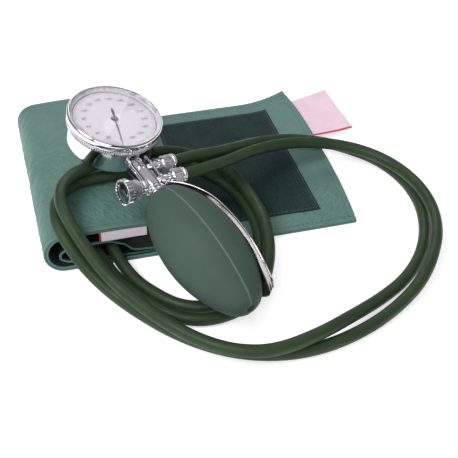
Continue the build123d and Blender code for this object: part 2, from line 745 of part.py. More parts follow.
void_arcs = (((bulb_wall, nipple_radius + 3.4),) + bulb_arcs[0][1:],) + bulb_arcs[1:2] + (
    ((52.0, 22.2), (68.0, 19.3), (bulb_length - inlet_depth, 13.6)),)
bulb = bulb_form(bulb_arcs, 0) - bulb_form(void_arcs, bulb_wall)
bulb -= rod((bulb_start - 1, 0, 0), (nipple_end, 0, 0), nipple_radius)
bulb -= rod((bulb_end - inlet_depth - 1, 0, 0), (bulb_end - bulb_lip, 0, 0), inlet_radius)
bulb -= rod((bulb_end - inlet_depth, 0, 0), (bulb_end + 1, 0, 0), bulb_hole_radius)
save("bulb", [one(bulb)], hand_unit)

inlet_high = bulb_end - bulb_lip
inlet_low = bulb_end - inlet_depth
ball_seat_x = inlet_high - filter_thickness - inlet_foot
inlet_profile = [
    (inlet_low, 1.0), (inlet_low, inlet_radius - 0.5), (inlet_low + 0.5, inlet_radius),
    (inlet_high, inlet_radius),
    (inlet_high, filter_radius), (inlet_high - filter_thickness, filter_radius),
    (inlet_high - filter_thickness, inlet_hole_radius), (ball_seat_x, inlet_hole_radius),
    (ball_seat_x - 1.0, inlet_chamber_radius), (inlet_low + inlet_foot, inlet_chamber_radius),
    (inlet_low + inlet_foot, 1.0),
]
inlet_seat = turned([(x, radius, 0) for x, radius in inlet_profile], Axis.X)
save("inlet_valve_seat", [inlet_seat], hand_unit)

filter_disc = rod((inlet_high - filter_thickness, 0, 0), (inlet_high, 0, 0), filter_radius)
for hole in range(5):
    y, z = polar(filter_radius / 2, 72 * hole)
    filter_disc -= rod((inlet_high - 1, y, z), (inlet_high + 1, y, z), filter_radius / 7)
save("inlet_filter", [one(filter_disc)], hand_unit)

ball_x = ball_seat_x - ball_radius - ball_gap
ball = Pos(ball_x, 0, 0) * Sphere(ball_radius)
save("inlet_ball", [ball], hand_unit)

# Spoon: a bent plate that runs from the block's side along the bulb, arched across its width
spoon_mid = half_block + spoon_thickness / 2
spoon_stations = (
    # reach past the block, side offset, half width, half angle of the arch
    (-0.5, spoon_mid, half_block, 0.6),
    (3.5, 7.9, 7.2, 10.0),
    (7.5, 12.4, 9.0, 20.0),
    (15.0, 17.4, 11.4, 30.0),
    (29.0, 22.5, 14.0, 36.0),
    (49.0, 24.3, 15.5, 39.0),
    (69.0, 23.1, 15.0, 40.0),
    (82.0, 20.8, 11.8, 36.0),
    (89.0, 19.3, 7.6, 26.0),
    (92.0, 18.5, 3.8, 13.0),
)


def spoon_section(index):
    reach, offset, half_width, half_angle = spoon_stations[index]
    before = spoon_stations[max(index - 1, 0)]
    after = spoon_stations[min(index + 1, len(spoon_stations) - 1)]
    heading = (after[0] - before[0], after[1] - before[1])
    if index == 0:
        heading = (1, 0)
    length = hypot(*heading)
    tangent = Vector(heading[0] / length, heading[1] / length, 0)
    normal = Vector(-tangent.Y, tangent.X, 0)
    radius = half_width / sin(radians(half_angle))
    origin = Vector(block_end + reach, offset, 0) - normal * radius

    def arch(arch_radius):
        return [
            origin + normal * (arch_radius * cos(radians(angle)))
            + Vector(0, 0, arch_radius * sin(radians(angle)))
            for angle in (-half_angle, 0, half_angle)
        ]

    outer = arch(radius + spoon_thickness / 2)
    inner = arch(radius - spoon_thickness / 2)
    edges = [
        ThreePointArc(*outer), Line(outer[2], inner[2]),
        ThreePointArc(*reversed(inner)), Line(inner[0], outer[0]),
    ]
    return Wire(edges)


spoon_wires = [spoon_section(index) for index in range(len(spoon_stations))]
spoon_blade = Solid.make_loft(spoon_wires, True)
guard_start = union_rear_x - half_block
guard_end = block_end + spoon_stations[0][0]
plate_profile = Plane.XZ * (
    Pos((guard_start + guard_end) / 2, 0)
    * RectangleRounded(guard_end - guard_start, block_width, guard_corner)
    + Pos(guard_end - guard_corner, 0) * Rectangle(2 * guard_corner, block_width)
)
guard_plate = Pos(0, guard_face, 0) * extrude(plate_profile, spoon_thickness)
for station in (union_rear_x, union_front_x):
    guard_plate -= rod((station, 0, 0), (station, guard_face + 1, 0), union_stem_radius)
save("hand_guard", [one(spoon_blade + guard_plate - block)], hand_unit)


# Cuff cover: one folded strip, lofted through its cross-sections from front to back
def cuff_share(y):
    return 1 - (1 - cuff_front_share) * (abs(y) / (cuff_width / 2)) ** cuff_sag_power


def corner_lift(y):
    share = min(1, max(0, (y + 5) / (cuff_width / 2 + 5)))
    return flap_rest_lift + flap_corner_lift * share * share * (3 - 2 * share)


def flap_end(y):
    return flap_reach + flap_bow * (1 - (2 * y / cuff_width) ** 2)


def flap_arc(y, reach, height):
    bend_radius = (flap_end(y) ** 2 + corner_lift(y) ** 2) / (2 * corner_lift(y))
    turn = reach / bend_radius

    def at(angle):
        side = (bend_radius - height) * sin(angle)
        return (flap_bend_x + side, y, bend_radius - (bend_radius - height) * cos(angle))

    return [at(turn * share) for share in (0, 0.5, 1)]


def fold_arcs(y, inset):
    height = cuff_height * cuff_share(y)
    radius = height / 2
    centre_x = cuff_fold_x + radius
    reach = radius - inset

    def at(angle):
        return (centre_x + reach * cos(radians(angle)), y, radius + reach * sin(radians(angle)))

    lower = [at(angle) for angle in (270, 225, 180)]
    upper = [at(angle) for angle in (180, 135, 90)]
    return lower, upper


def cover_section(y):
    bottom = flap_arc(y, flap_end(y), 0)
    inside = flap_arc(y, flap_end(y), cuff_thickness)
    lower_out, upper_out = fold_arcs(y, 0)
    lower_in, upper_in = fold_arcs(y, cuff_thickness)
    high = cuff_height * cuff_share(y)
    mid_x = (upper_out[2][0] + cuff_top_end) / 2
    top_arc = [upper_out[2], (mid_x, y, high + cuff_crown), (cuff_top_end, y, high - cuff_crown)]
    under_arc = [(x, y_at, z - cuff_thickness) for x, y_at, z in top_arc]
    sole = [(x, y, -sole_trim) for x in (bottom[0][0], lower_out[0][0])]
    edges = [
        ThreePointArc(*reversed(bottom)),
        Line(bottom[0], sole[0]), Line(sole[0], sole[1]), Line(sole[1], lower_out[0]),
        ThreePointArc(*lower_out), ThreePointArc(*upper_out), ThreePointArc(*top_arc),
        Line(top_arc[2], under_arc[2]), ThreePointArc(*reversed(under_arc)),
        ThreePointArc(*reversed(upper_in)), ThreePointArc(*reversed(lower_in)),
        Line(lower_in[0], inside[0]), ThreePointArc(*inside), Line(inside[2], bottom[2]),
    ]
    return Wire(edges)


half_cuff = cuff_width / 2
cover_stations = [half_cuff * share for share in (-1, -0.7, -0.3, 0.1, 0.5, 0.8, 1)]
cuff_cover = Solid.make_loft([cover_section(y) for y in cover_stations], True)
# the sole is lofted a little deep and cut back, which leaves one flat face to stand on
cuff_cover -= Pos(0, 0, -sole_trim) * Box(2 * cuff_width, 2 * cuff_width, 2 * sole_trim)
cuff_cover = one(cuff_cover)
save("cuff_cover", [cuff_cover])


def patch_section(y):
    patch_reach = patch_start_x + patch_length - flap_bend_x
    low = flap_arc(y, patch_reach, cuff_thickness)
    high = flap_arc(y, patch_reach, cuff_thickness + patch_thickness)
    start_low = (patch_start_x, y, cuff_thickness)
    start_high = (patch_start_x, y, cuff_thickness + patch_thickness)
    edges = [
        Line(start_low, low[0]), ThreePointArc(*low), Line(low[2], high[2]),
        ThreePointArc(*reversed(high)), Line(high[0], start_high), Line(start_high, start_low),
    ]
    return Wire(edges)


patch_low = patch_centre_y - patch_width / 2
patch_stations = [patch_low + patch_width * share for share in (0, 0.25, 0.5, 0.75, 1)]
hook_patch = Solid.make_loft([patch_section(y) for y in patch_stations], True) - cuff_cover
save("hook_patch", [one(hook_patch)])


# Pocket and bladder: flattened tubes with a crown along their length
def pillow_section(y, low, high, start_x, end_x):
    radius = (high - low) / 2
    level = low + radius
    left = start_x + radius
    right = end_x - radius

    def at(centre, angle):
        return (centre + radius * cos(radians(angle)), y, level + radius * sin(radians(angle)))

    right_side = [at(right, angle) for angle in (270, 315, 0, 45, 90)]
    left_side = [at(left, angle) for angle in (90, 135, 180, 225, 270)]
    return Wire(Polyline(*right_side, *left_side, close=True))


def pillow(width, low, height, end_share, start_x, end_x, inset):
    wires = []
    for share in (-1, -0.5, 0, 0.5, 1):
        y = width / 2 * share
        top = low + height * (end_share + (1 - end_share) * (1 - share * share))
        wires.append(pillow_section(y, low + inset, top - inset, start_x + inset, end_x - inset))
    return Solid.make_loft(wires, True)


pocket_outer = pillow(
    pocket_width, cuff_thickness, pocket_height, pocket_end_share, pocket_start_x, pocket_end_x, 0)
pocket_inner = pillow(
    pocket_width + 2, cuff_thickness, pocket_height, pocket_end_share,
    pocket_start_x, pocket_end_x, pocket_wall)
pocket = pocket_outer - pocket_inner
save("cuff_pocket", [one(pocket)])

bladder_low = cuff_thickness + pocket_wall + bladder_gap
bladder_start = pocket_start_x + pocket_wall + 4
bladder_end = pocket_end_x - pocket_wall - 4
bladder_size = (bladder_width, bladder_low, bladder_height, 0.9, bladder_start, bladder_end)
bladder = pillow(*bladder_size, 0)
bladder_void = pillow(
    bladder_width - 2 * bladder_wall, bladder_low, bladder_height, 0.9,
    bladder_start, bladder_end, bladder_wall)
bladder -= bladder_void

# Hose routes, in the cuff's frame, from the unions to the bladder
def unit_point(x, y, z):
    place = (hand_unit * Pos(x, y, z)).position
    return (place.X, place.Y, place.Z)


hose_rear_points = [
    unit_point(union_rear_x, union_end, 0), unit_point(union_rear_x, union_end + 16, 0),
    (14.5, -32.5, 38.5), (32.5, -20.5, 32.0), (49.5, -7.0, 24.5), (68.0, 3.5, 17.0),
    (86.0, 8.0, 11.0), (103.0, 6.0, 7.0), (118.0, -2.5, 4.5), (131.5, -18.0, 3.8), (139.5, -42.0, 3.8),
    (140.0, -68.0, 3.8), (133.0, -94.5, 3.8), (120.0, -118.0, 3.8), (102.5, -136.5, 3.8),
    (81.5, -149.5, 4.2),
    (60.5, -162.0, 8.3), (37.5, -174.5, 11.8), (11.5, -180.5, 11.4), (-8.0, -176.0, 11.4),
    (-24.0, -164.5, 11.4),
    (-37.5, -148.5, 11.4), (-50.0, -129.0, 11.7), (-60.5, -110.8, 13.6), (-69.2, -97.0, 20.6),
    (-76.0, -86.0, 30.2), (-81.2, -74.3, 38.0), (-83.2, -60.8, 40.8), (-80.2, -47.2, 41.6),
    (-71.0, -36.6, 42.0),
    (-57.5, -31.0, 41.8), (-39.5, -23.5, 38.3), (-21.5, -15.0, 34.0), (-6.0, -9.0, 28.5), (9.0, -10.0, 23.0),
    (21.5, -18.0, 19.5), (29.3, -31.5, 17.5), (33.3, -49.0, 16.3), (35.3, -68.0, 16.0), (34.0, -87.5, 14.5),
    (30.0, -105.0, 11.0), (21.3, -122.5, 6.3), (6.0, -137.0, 4.0), (-14.0, -141.5, 3.8),
    (-31.0, -135.5, 3.8),
    (-43.0, -121.6, 3.8), (-52.5, -106.5, 3.8), (-60.5, -91.0, 6.3), (-65.5, -74.0, 9.0),
]
hose_front_points = [
    unit_point(union_front_x, union_end, 0), unit_point(union_front_x, union_end + 16, 0),
    (23.5, -38.0, 35.5), (40.0, -25.0, 30.5), (56.5, -15.0, 25.5), (73.0, -9.0, 21.5), (89.5, -8.0, 18.5),
    (106.0, -12.0, 16.0), (121.0, -20.5, 14.0), (133.0, -35.0, 12.5), (140.5, -55.0, 11.6),
    (141.5, -79.5, 11.4),
    (136.0, -103.0, 10.9), (125.0, -124.0, 9.8), (109.5, -143.0, 6.8), (90.0, -157.0, 4.2),
    (68.5, -168.5, 3.8),
    (43.5, -176.5, 3.8), (20.0, -177.5, 3.8), (-2.0, -171.5, 3.8), (-20.0, -160.5, 3.8),
    (-36.0, -145.5, 3.8),
    (-49.5, -127.5, 3.8), (-61.5, -110.0, 5.0), (-71.8, -97.8, 12.0), (-79.8, -88.0, 21.5),
    (-85.2, -77.5, 30.0),
    (-87.4, -63.8, 32.5), (-84.4, -49.5, 33.5), (-75.0, -38.3, 33.9), (-61.2, -33.2, 33.8),
    (-46.5, -33.5, 33.8),
    (-31.5, -32.0, 33.8), (-16.5, -27.5, 32.0), (-0.5, -21.5, 24.5), (13.5, -21.5, 16.3),
    (24.5, -29.5, 10.5),
    (30.5, -43.5, 8.5), (32.5, -61.0, 8.3), (31.5, -79.5, 7.5), (26.0, -97.5, 4.6), (16.5, -114.0, 3.8),
    (4.0, -127.0, 3.8), (-13.0, -131.0, 3.8), (-28.5, -125.5, 3.8), (-39.5, -112.3, 3.8),
    (-48.0, -98.3, 4.0),
    (-53.5, -84.5, 6.8), (-56.5, -71.5, 9.0),
]


def hose_solid(name, points):
    spots = [Vector(*point) for point in points]
    radii = []
    for before, here, after in zip(spots, spots[1:], spots[2:]):
        turn = radians((here - before).get_angle(after - here))
        shorter = min((here - before).length, (after - here).length)
        radii.append(bend_share * shorter / tan(turn / 2))
    centre_line = FilletPolyline(*spots, radius=radii)
    start = Plane(origin=spots[0], z_dir=spots[1] - spots[0])
    hose = sweep(start * Circle(hose_diameter / 2), path=centre_line)
    print(name, "length", round(centre_line.length, 1), "bends", [round(radius, 1) for radius in radii])
    print(name, "volume share", round(hose.volume / (pi * hose_diameter**2 / 4 * centre_line.length), 4))
    return one(hose)


save("hose_rear", [hose_solid("hose_rear", hose_rear_points)])
save("hose_front", [hose_solid("hose_front", hose_front_points)])

# Bladder ports run from the hose ends into the bladder's front wall
ports = []
bladder_front = -bladder_width / 2
for points in (hose_rear_points, hose_front_points):
    end = Vector(*points[-1])
    heading = (end - Vector(*points[-2])).normalized()
    reach = (bladder_front + 2.5 - end.Y) / heading.Y
    inner_end = end + heading * reach
    outer_tube = rod(tuple(end), tuple(inner_end), port_radius)
    bladder -= outer_tube
    ports.append(one(outer_tube - rod(tuple(end - heading), tuple(inner_end + heading), port_bore)))
save("bladder", [one(bladder)])
save("bladder_ports", ports)


# Sewn tags: thin sheets, bent a little along their length
def tag_solid(corners, sag):
    low = []
    for side in (0, 1):
        start, end = Vector(*corners[side]), Vector(*corners[3 - side])
        middle = (start + end) * 0.5 + Vector(0, 0, -sag)
        rise = Vector(0, 0, tag_thickness)
        edges = [
            ThreePointArc(start, middle, end), Line(end, end + rise),
            ThreePointArc(end + rise, middle + rise, start + rise), Line(start + rise, start),
        ]
        low.append(Wire(edges))
    return Solid.make_loft(low, True)


flap_edge = flap_bend_x + flap_reach
outer_tag_corners = (
    (flap_edge + 2.3, outer_tag_start_y, 4.4), (flap_edge + 0.1, outer_tag_start_y + outer_tag_width, 7.6),
    (flap_edge - 1.0 + outer_tag_reach, outer_tag_start_y + outer_tag_width + 7.4, 9.0),
    (flap_edge + 2.8 + outer_tag_reach, outer_tag_start_y + 0.3, 6.0),
)
save("outer_tag", [one(tag_solid(outer_tag_corners, 0.6) - cuff_cover)])

tag_top = cuff_height * cuff_front_share - cuff_thickness + cuff_crown
inner_tag_end = inner_tag_start + inner_tag_length
tag_edge = Plane.XZ * make_face(Polyline(
    (inner_tag_start, tag_top), (inner_tag_end, tag_top), (inner_tag_end - 1.0, tag_top - inner_tag_drop),
    (inner_tag_start + 1.0, tag_top - inner_tag_drop - 0.4), close=True))
inner_tag = Pos(0, -half_cuff + inner_tag_inset, 0) * extrude(tag_edge, tag_thickness)
save("inner_tag", [one(inner_tag - cuff_cover)])
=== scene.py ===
import math

import bmesh
import bpy
from mathutils import Matrix, Vector, noise
from mathutils.bvhtree import BVHTree


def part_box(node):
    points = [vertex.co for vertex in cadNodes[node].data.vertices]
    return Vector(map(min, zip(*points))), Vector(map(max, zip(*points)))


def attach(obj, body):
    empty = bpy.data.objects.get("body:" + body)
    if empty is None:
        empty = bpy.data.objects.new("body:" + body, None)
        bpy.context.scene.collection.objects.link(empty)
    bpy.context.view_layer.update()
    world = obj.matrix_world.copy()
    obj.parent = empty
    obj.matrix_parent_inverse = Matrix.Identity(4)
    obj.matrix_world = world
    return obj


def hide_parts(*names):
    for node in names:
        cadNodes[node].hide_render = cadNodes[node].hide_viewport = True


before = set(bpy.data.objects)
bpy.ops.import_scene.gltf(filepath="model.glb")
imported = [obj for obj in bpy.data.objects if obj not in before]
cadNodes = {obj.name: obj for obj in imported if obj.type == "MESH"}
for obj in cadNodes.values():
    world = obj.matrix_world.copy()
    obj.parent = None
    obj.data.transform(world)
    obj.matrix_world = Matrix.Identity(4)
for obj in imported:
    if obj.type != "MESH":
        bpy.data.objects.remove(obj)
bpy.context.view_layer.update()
restBody = "cuff_and_gauge"
mm = 0.001

# the hand unit has its own frame: X from gauge to bulb, Y to the hose unions, Z out of the dial
unit = {"place": (-0.0455, -0.022, 0.0554), "yaw": -70.3, "pitch": 12.4, "roll": -7.9}
unitPlace = Matrix.Translation(unit["place"])
for turn, axis in (("yaw", "Z"), ("pitch", "Y"), ("roll", "X")):
    unitPlace = unitPlace @ Matrix.Rotation(math.radians(unit[turn]), 4, axis)
print("frame loaded:", len(cadNodes), "nodes")


# small helpers
def limited(value, low=0, high=1):
    return min(high, max(low, value))


def eased(share):
    return share * share * (3 - 2 * share)


def onUnit(x, y, z):
    return unitPlace @ Vector((x * mm, y * mm, z * mm))


def evenAngles(count):
    return [2 * math.pi * step / count for step in range(count)]


def linked(name, data):
    made = bpy.data.objects.new(name, data)
    bpy.context.scene.collection.objects.link(made)
    return made


def feed(tree, socket, item):
    # an item is another node's output or a plain value
    if isinstance(item, bpy.types.NodeSocket):
        tree.links.new(item, socket)
    else:
        socket.default_value = item


def addNode(tree, kind, inputs=(), **settings):
    node = tree.nodes.new(kind)
    for key, value in settings.items():
        setattr(node, key, value)
    for key, item in dict(inputs).items():
        feed(tree, node.inputs[key], item)
    return node


def addMath(tree, operation, *items, clamp=False):
    return addNode(tree, "ShaderNodeMath", enumerate(items), operation=operation, use_clamp=clamp).outputs[0]


def addUp(tree, *items):
    total = 0
    for item in items:
        total = addMath(tree, "ADD", item, total, clamp=True)
    return total


def addRange(tree, value, fromLow=0.0, fromHigh=1.0, toLow=0.0, toHigh=1.0, smooth=False):
    return addNode(
        tree, "ShaderNodeMapRange",
        {"Value": value, "From Min": fromLow, "From Max": fromHigh, "To Min": toLow, "To Max": toHigh},
        interpolation_type="SMOOTHSTEP" if smooth else "LINEAR").outputs[0]


def addNoise(tree, place, size, detail, **inputs):
    wanted = {"Vector": place, "Scale": size, "Detail": detail, **inputs}
    return addNode(tree, "ShaderNodeTexNoise", wanted).outputs[0]


def mixColor(tree, share, low, high):
    inputs = {"Factor": share, "A": low, "B": high}
    return addNode(tree, "ShaderNodeMix", inputs, data_type="RGBA").outputs["Result"]


def startPaint(name, color, metallic=0.0, **values):
    paint = bpy.data.materials.new(name)
    paint.use_nodes = True
    shader = paint.node_tree.nodes["Principled BSDF"]
    shader.inputs["Metallic"].default_value = metallic
    for key, value in values.items():
        shader.inputs[key.replace("_", " ")].default_value = value
    paint.diffuse_color = (*color, 1)
    return paint, paint.node_tree, shader


# stage, lamps and camera
studio = {
    "background": 1.0,  # strength that the camera sees
    "dome": 0.43,  # strength that lights the object
    # height and colour of the bands that polished metal mirrors, from the horizon up
    "room": [
        (0.0, (0.5, 0.5, 0.5)), (0.06, (0.10, 0.10, 0.103)), (0.3, (0.16, 0.16, 0.1648)),
        (0.42, (0.8, 0.8, 0.824)), (0.8, (0.95, 0.95, 0.97)),
    ],
    "darkSide": (-0.30, -0.80, 0.52), "darkFrom": 0.50, "darkTo": 0.86, "darkLevel": 0.16,
    "floorSize": 24, "floorColor": (0.84, 0.835, 0.84),
    "floorGlow": 0.58,  # lifts the floor to white for the camera only
    # name, place, aim, size and power
    "lamps": [
        ("keyLamp", (-1.0, -0.35, 1.35), (0, -0.05, 0.03), 0.9, 14),
        ("fillLamp", (-0.55, -1.25, 0.95), (0, -0.05, 0.03), 1.0, 7),
        ("backLamp", (0.2, 1.4, 1.3), (0, 0, 0.03), 1.0, 5),
    ],
    "azimuth": -14.8, "elevation": 38, "distance": 0.640, "aim": (0.01734, -0.06043, 0),
    "sensor": 36, "focalPixels": 1038, "picturePixels": 458,
}


def buildWorld(scene):
    world = bpy.data.worlds.new("studio")
    world.use_nodes = True
    tree = world.node_tree
    rays = addNode(tree, "ShaderNodeLightPath").outputs
    seen = addUp(tree, rays["Is Camera Ray"], rays["Is Transmission Ray"])
    direction = addNode(tree, "ShaderNodeTexCoord").outputs["Generated"]
    height = addNode(tree, "ShaderNodeSeparateXYZ", {0: direction}).outputs["Z"]
    room = addNode(tree, "ShaderNodeValToRGB", {0: height})
    bands = room.color_ramp.elements
    for end in (0, -1):
        bands[end].position = studio["room"][end][0]
        bands[end].color = (*studio["room"][end][1], 1)
    for position, color in studio["room"][1:-1]:
        bands.new(position).color = (*color, 1)
    # the side that the camera stands on is darker, as a photographer's side is
    toward = addNode(tree, "ShaderNodeVectorMath", {0: direction, 1: studio["darkSide"]}, operation="DOT_PRODUCT")
    dim = addRange(tree, toward.outputs["Value"], studio["darkFrom"], studio["darkTo"], 1.0, studio["darkLevel"], True)
    shaded = addNode(tree, "ShaderNodeVectorMath", {0: room.outputs["Color"], "Scale": dim}, operation="SCALE")
    mirrored = addMath(tree, "SUBTRACT", rays["Is Glossy Ray"], seen, clamp=True)
    backing = tree.nodes["Background"]
    feed(tree, backing.inputs["Color"], mixColor(tree, mirrored, (1, 1, 1, 1), shaded.outputs[0]))
    level = addRange(tree, seen, toLow=studio["dome"], toHigh=studio["background"])
    feed(tree, backing.inputs["Strength"], level)
    scene.world = world


def buildFloor():
    bpy.ops.mesh.primitive_plane_add(size=studio["floorSize"])
    floor = bpy.context.object
    floor.name = "studioFloor"
    paint, tree, shader = startPaint(
        "floorPaper", studio["floorColor"], Base_Color=(*studio["floorColor"], 1), Roughness=0.9,
        Specular_IOR_Level=0.1, Emission_Color=(1, 1, 1, 1))
    rays = addNode(tree, "ShaderNodeLightPath").outputs
    seen = addUp(tree, rays["Is Camera Ray"], rays["Is Glossy Ray"], rays["Is Transmission Ray"])
    feed(tree, shader.inputs["Emission Strength"], addMath(tree, "MULTIPLY", seen, studio["floorGlow"]))
    floor.data.materials.append(paint)


def buildLamps():
    for name, place, aim, size, power in studio["lamps"]:
        lamp = bpy.data.lights.new(name, "AREA")
        lamp.shape = "DISK"
        lamp.size = size
        lamp.energy = power
        holder = linked(name, lamp)
        holder.location = place
        holder.rotation_euler = (Vector(aim) - Vector(place)).to_track_quat("-Z", "Y").to_euler()


def buildCamera(scene):
    azimuth, elevation = math.radians(studio["azimuth"]), math.radians(studio["elevation"])
    level = math.cos(elevation)
    back = Vector((math.sin(azimuth) * level, -math.cos(azimuth) * level, math.sin(elevation)))
    lens = bpy.data.cameras.new("camera")
    lens.sensor_width = studio["sensor"]
    lens.lens = studio["sensor"] * studio["focalPixels"] / studio["picturePixels"]
    lens.clip_start = 0.01
    camera = linked("camera", lens)
    camera.location = Vector(studio["aim"]) + back * studio["distance"]
    camera.rotation_mode = "QUATERNION"
    camera.rotation_quaternion = (-back).to_track_quat("-Z", "Y")
    scene.camera = camera


bpy.context.scene.view_settings.view_transform = "Standard"
buildWorld(bpy.context.scene)
buildFloor()
buildLamps()
buildCamera(bpy.context.scene)
print("stage, lamps and camera")


# hoses: straight out of the unions, then through points on the table's frame in millimetres
hose = {
    "diameter": 0.0074, "stiffness": "medium", "rearStation": 33.5, "frontStation": 45.5,
    "straightFrom": 24, "straightTo": 40,
}
hoseRearPoints = [
    (14.5, -32.5, 38.5), (32.5, -20.5, 32.0), (49.5, -7.0, 24.5), (68.0, 3.5, 17.0),
    (86.0, 8.0, 11.0), (103.0, 6.0, 7.0), (118.0, -2.5, 4.5), (131.5, -18.0, 3.8), (139.5, -42.0, 3.8),
    (140.0, -68.0, 3.8), (133.0, -94.5, 3.8), (120.0, -118.0, 3.8), (102.5, -136.5, 3.8), (81.5, -149.5, 4.2),
    (60.5, -162.0, 8.3), (37.5, -174.5, 11.8), (11.5, -180.5, 11.4), (-8.0, -176.0, 11.4), (-24.0, -164.5, 11.4),
    (-37.5, -148.5, 11.4), (-50.0, -129.0, 11.7), (-60.5, -110.8, 13.6), (-69.2, -97.0, 20.6),
    (-76.0, -86.0, 30.2), (-81.2, -74.3, 38.0), (-83.2, -60.8, 40.8), (-80.2, -47.2, 41.6), (-71.0, -36.6, 42.0),
    (-57.5, -31.0, 41.8), (-39.5, -23.5, 38.3), (-21.5, -15.0, 34.0), (-6.0, -9.0, 28.5), (9.0, -10.0, 23.0),
    (21.5, -18.0, 19.5), (29.3, -31.5, 17.5), (33.3, -49.0, 16.3), (35.3, -68.0, 16.0), (34.0, -87.5, 14.5),
    (30.0, -105.0, 11.0), (21.3, -122.5, 6.3), (6.0, -137.0, 4.0), (-14.0, -141.5, 3.8), (-31.0, -135.5, 3.8),
    (-43.0, -121.6, 3.8), (-52.5, -106.5, 3.8), (-60.5, -91.0, 6.3), (-65.5, -74.0, 9.0),
]
hoseFrontPoints = [
    (23.5, -38.0, 35.5), (40.0, -25.0, 30.5), (56.5, -15.0, 25.5), (73.0, -9.0, 21.5), (89.5, -8.0, 18.5),
    (106.0, -12.0, 16.0), (121.0, -20.5, 14.0), (133.0, -35.0, 12.5), (140.5, -55.0, 11.6), (141.5, -79.5, 11.4),
    (136.0, -103.0, 10.9), (125.0, -124.0, 9.8), (109.5, -143.0, 6.8), (90.0, -157.0, 4.2), (68.5, -168.5, 3.8),
    (43.5, -176.5, 3.8), (20.0, -177.5, 3.8), (-2.0, -171.5, 3.8), (-20.0, -160.5, 3.8), (-36.0, -145.5, 3.8),
    (-49.5, -127.5, 3.8), (-61.5, -110.0, 5.0), (-71.8, -97.8, 12.0), (-79.8, -88.0, 21.5), (-85.2, -77.5, 30.0),
    (-87.4, -63.8, 32.5), (-84.4, -49.5, 33.5), (-75.0, -38.3, 33.9), (-61.2, -33.2, 33.8), (-46.5, -33.5, 33.8),
    (-31.5, -32.0, 33.8), (-16.5, -27.5, 32.0), (-0.5, -21.5, 24.5), (13.5, -21.5, 16.3), (24.5, -29.5, 10.5),
    (30.5, -43.5, 8.5), (32.5, -61.0, 8.3), (31.5, -79.5, 7.5), (26.0, -97.5, 4.6), (16.5, -114.0, 3.8),
    (4.0, -127.0, 3.8), (-13.0, -131.0, 3.8), (-28.5, -125.5, 3.8), (-39.5, -112.3, 3.8), (-48.0, -98.3, 4.0),
    (-53.5, -84.5, 6.8), (-56.5, -71.5, 9.0),
]


def makeHose(name, node, station, points):
    straight = [onUnit(station, reach, 0) for reach in (hose["straightFrom"], hose["straightTo"])]
    route = straight + [Vector(point) * mm for point in points]
    curve = bpy.data.curves.new(name, "CURVE")
    curve.dimensions = "3D"
    line = curve.splines.new("NURBS")
    line.points.add(len(route) - 1)
    for knot, spot in zip(line.points, route):
        knot.co = (*spot, 1)
        knot.radius = hose["diameter"] / 2
    line.order_u = 3
    line.use_endpoint_u = True
    line.resolution_u = 6
    curve.bevel_depth = 1  # times the points' radius, so that the curve's box is right
    curve.bevel_resolution = 6
    curve.use_fill_caps = True
    piece = linked(name, curve)
    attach(piece, restBody)
    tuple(route[0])
    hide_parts(node)
    return piece


hoseRear = makeHose("hoseRear", "hose_rear", hose["rearStation"], hoseRearPoints)
hoseFront = makeHose("hoseFront", "hose_front", hose["frontStation"], hoseFrontPoints)
print("hoses")


# shader groups
def newGroup(name, inputs, outputs):
    tree = bpy.data.node_groups.new(name, "ShaderNodeTree")
    for label, kind, value in inputs:
        socket = tree.interface.new_socket(label, in_out="INPUT", socket_type="NodeSocket" + kind)
        if value is not None:
            socket.default_value = value
    for label, kind in outputs:
        tree.interface.new_socket(label, in_out="OUTPUT", socket_type="NodeSocket" + kind)
    return tree, tree.nodes.new("NodeGroupInput").outputs, tree.nodes.new("NodeGroupOutput").inputs


def buildMottle():
    # colour that drifts a little over a surface, with small pale dust specks
    tree, given, out = newGroup("mottle", [
        ("Place", "Vector", None), ("Color", "Color", (0.5, 0.5, 0.5, 1)), ("Size", "Float", 60.0),
        ("Drift", "Float", 0.12), ("Dust Color", "Color", (0.5, 0.5, 0.5, 1)), ("Dust", "Float", 0.0),
    ], [("Color", "Color")])
    broad = addNoise(tree, given["Place"], given["Size"], 5.0, Roughness=0.55)
    shade = addRange(tree, broad, 0.3, 0.7, toLow=-1.0)
    level = addMath(tree, "ADD", addMath(tree, "MULTIPLY", shade, given["Drift"]), 1.0)
    tinted = addNode(tree, "ShaderNodeVectorMath", {0: given["Color"], "Scale": level}, operation="SCALE")
    fine = addNoise(tree, given["Place"], addMath(tree, "MULTIPLY", given["Size"], 22.0), 3.0, Roughness=0.6)
    specks = addRange(tree, fine, 0.56, 0.74, smooth=True)
    dusty = addMath(tree, "MULTIPLY", specks, given["Dust"])
    feed(tree, out["Color"], mixColor(tree, dusty, tinted.outputs[0], given["Dust Color"]))
    return tree


def buildGrain():
    # a fine irregular height, and a roughness that follows smudges
    tree, given, out = newGroup("grain", [
        ("Place", "Vector", None), ("Size", "Float", 900.0), ("Smudge Size", "Float", 90.0),
        ("Smooth", "Float", 0.1), ("Dull", "Float", 0.2),
    ], [("Height", "Float"), ("Roughness", "Float")])
    feed(tree, out["Height"], addNoise(tree, given["Place"], given["Size"], 4.0, Roughness=0.6))
    smudge = addNoise(tree, given["Place"], given["Smudge Size"], 3.0, Distortion=0.6)
    feed(tree, out["Roughness"], addRange(tree, smudge, 0.35, 0.7, given["Smooth"], given["Dull"], True))
    return tree


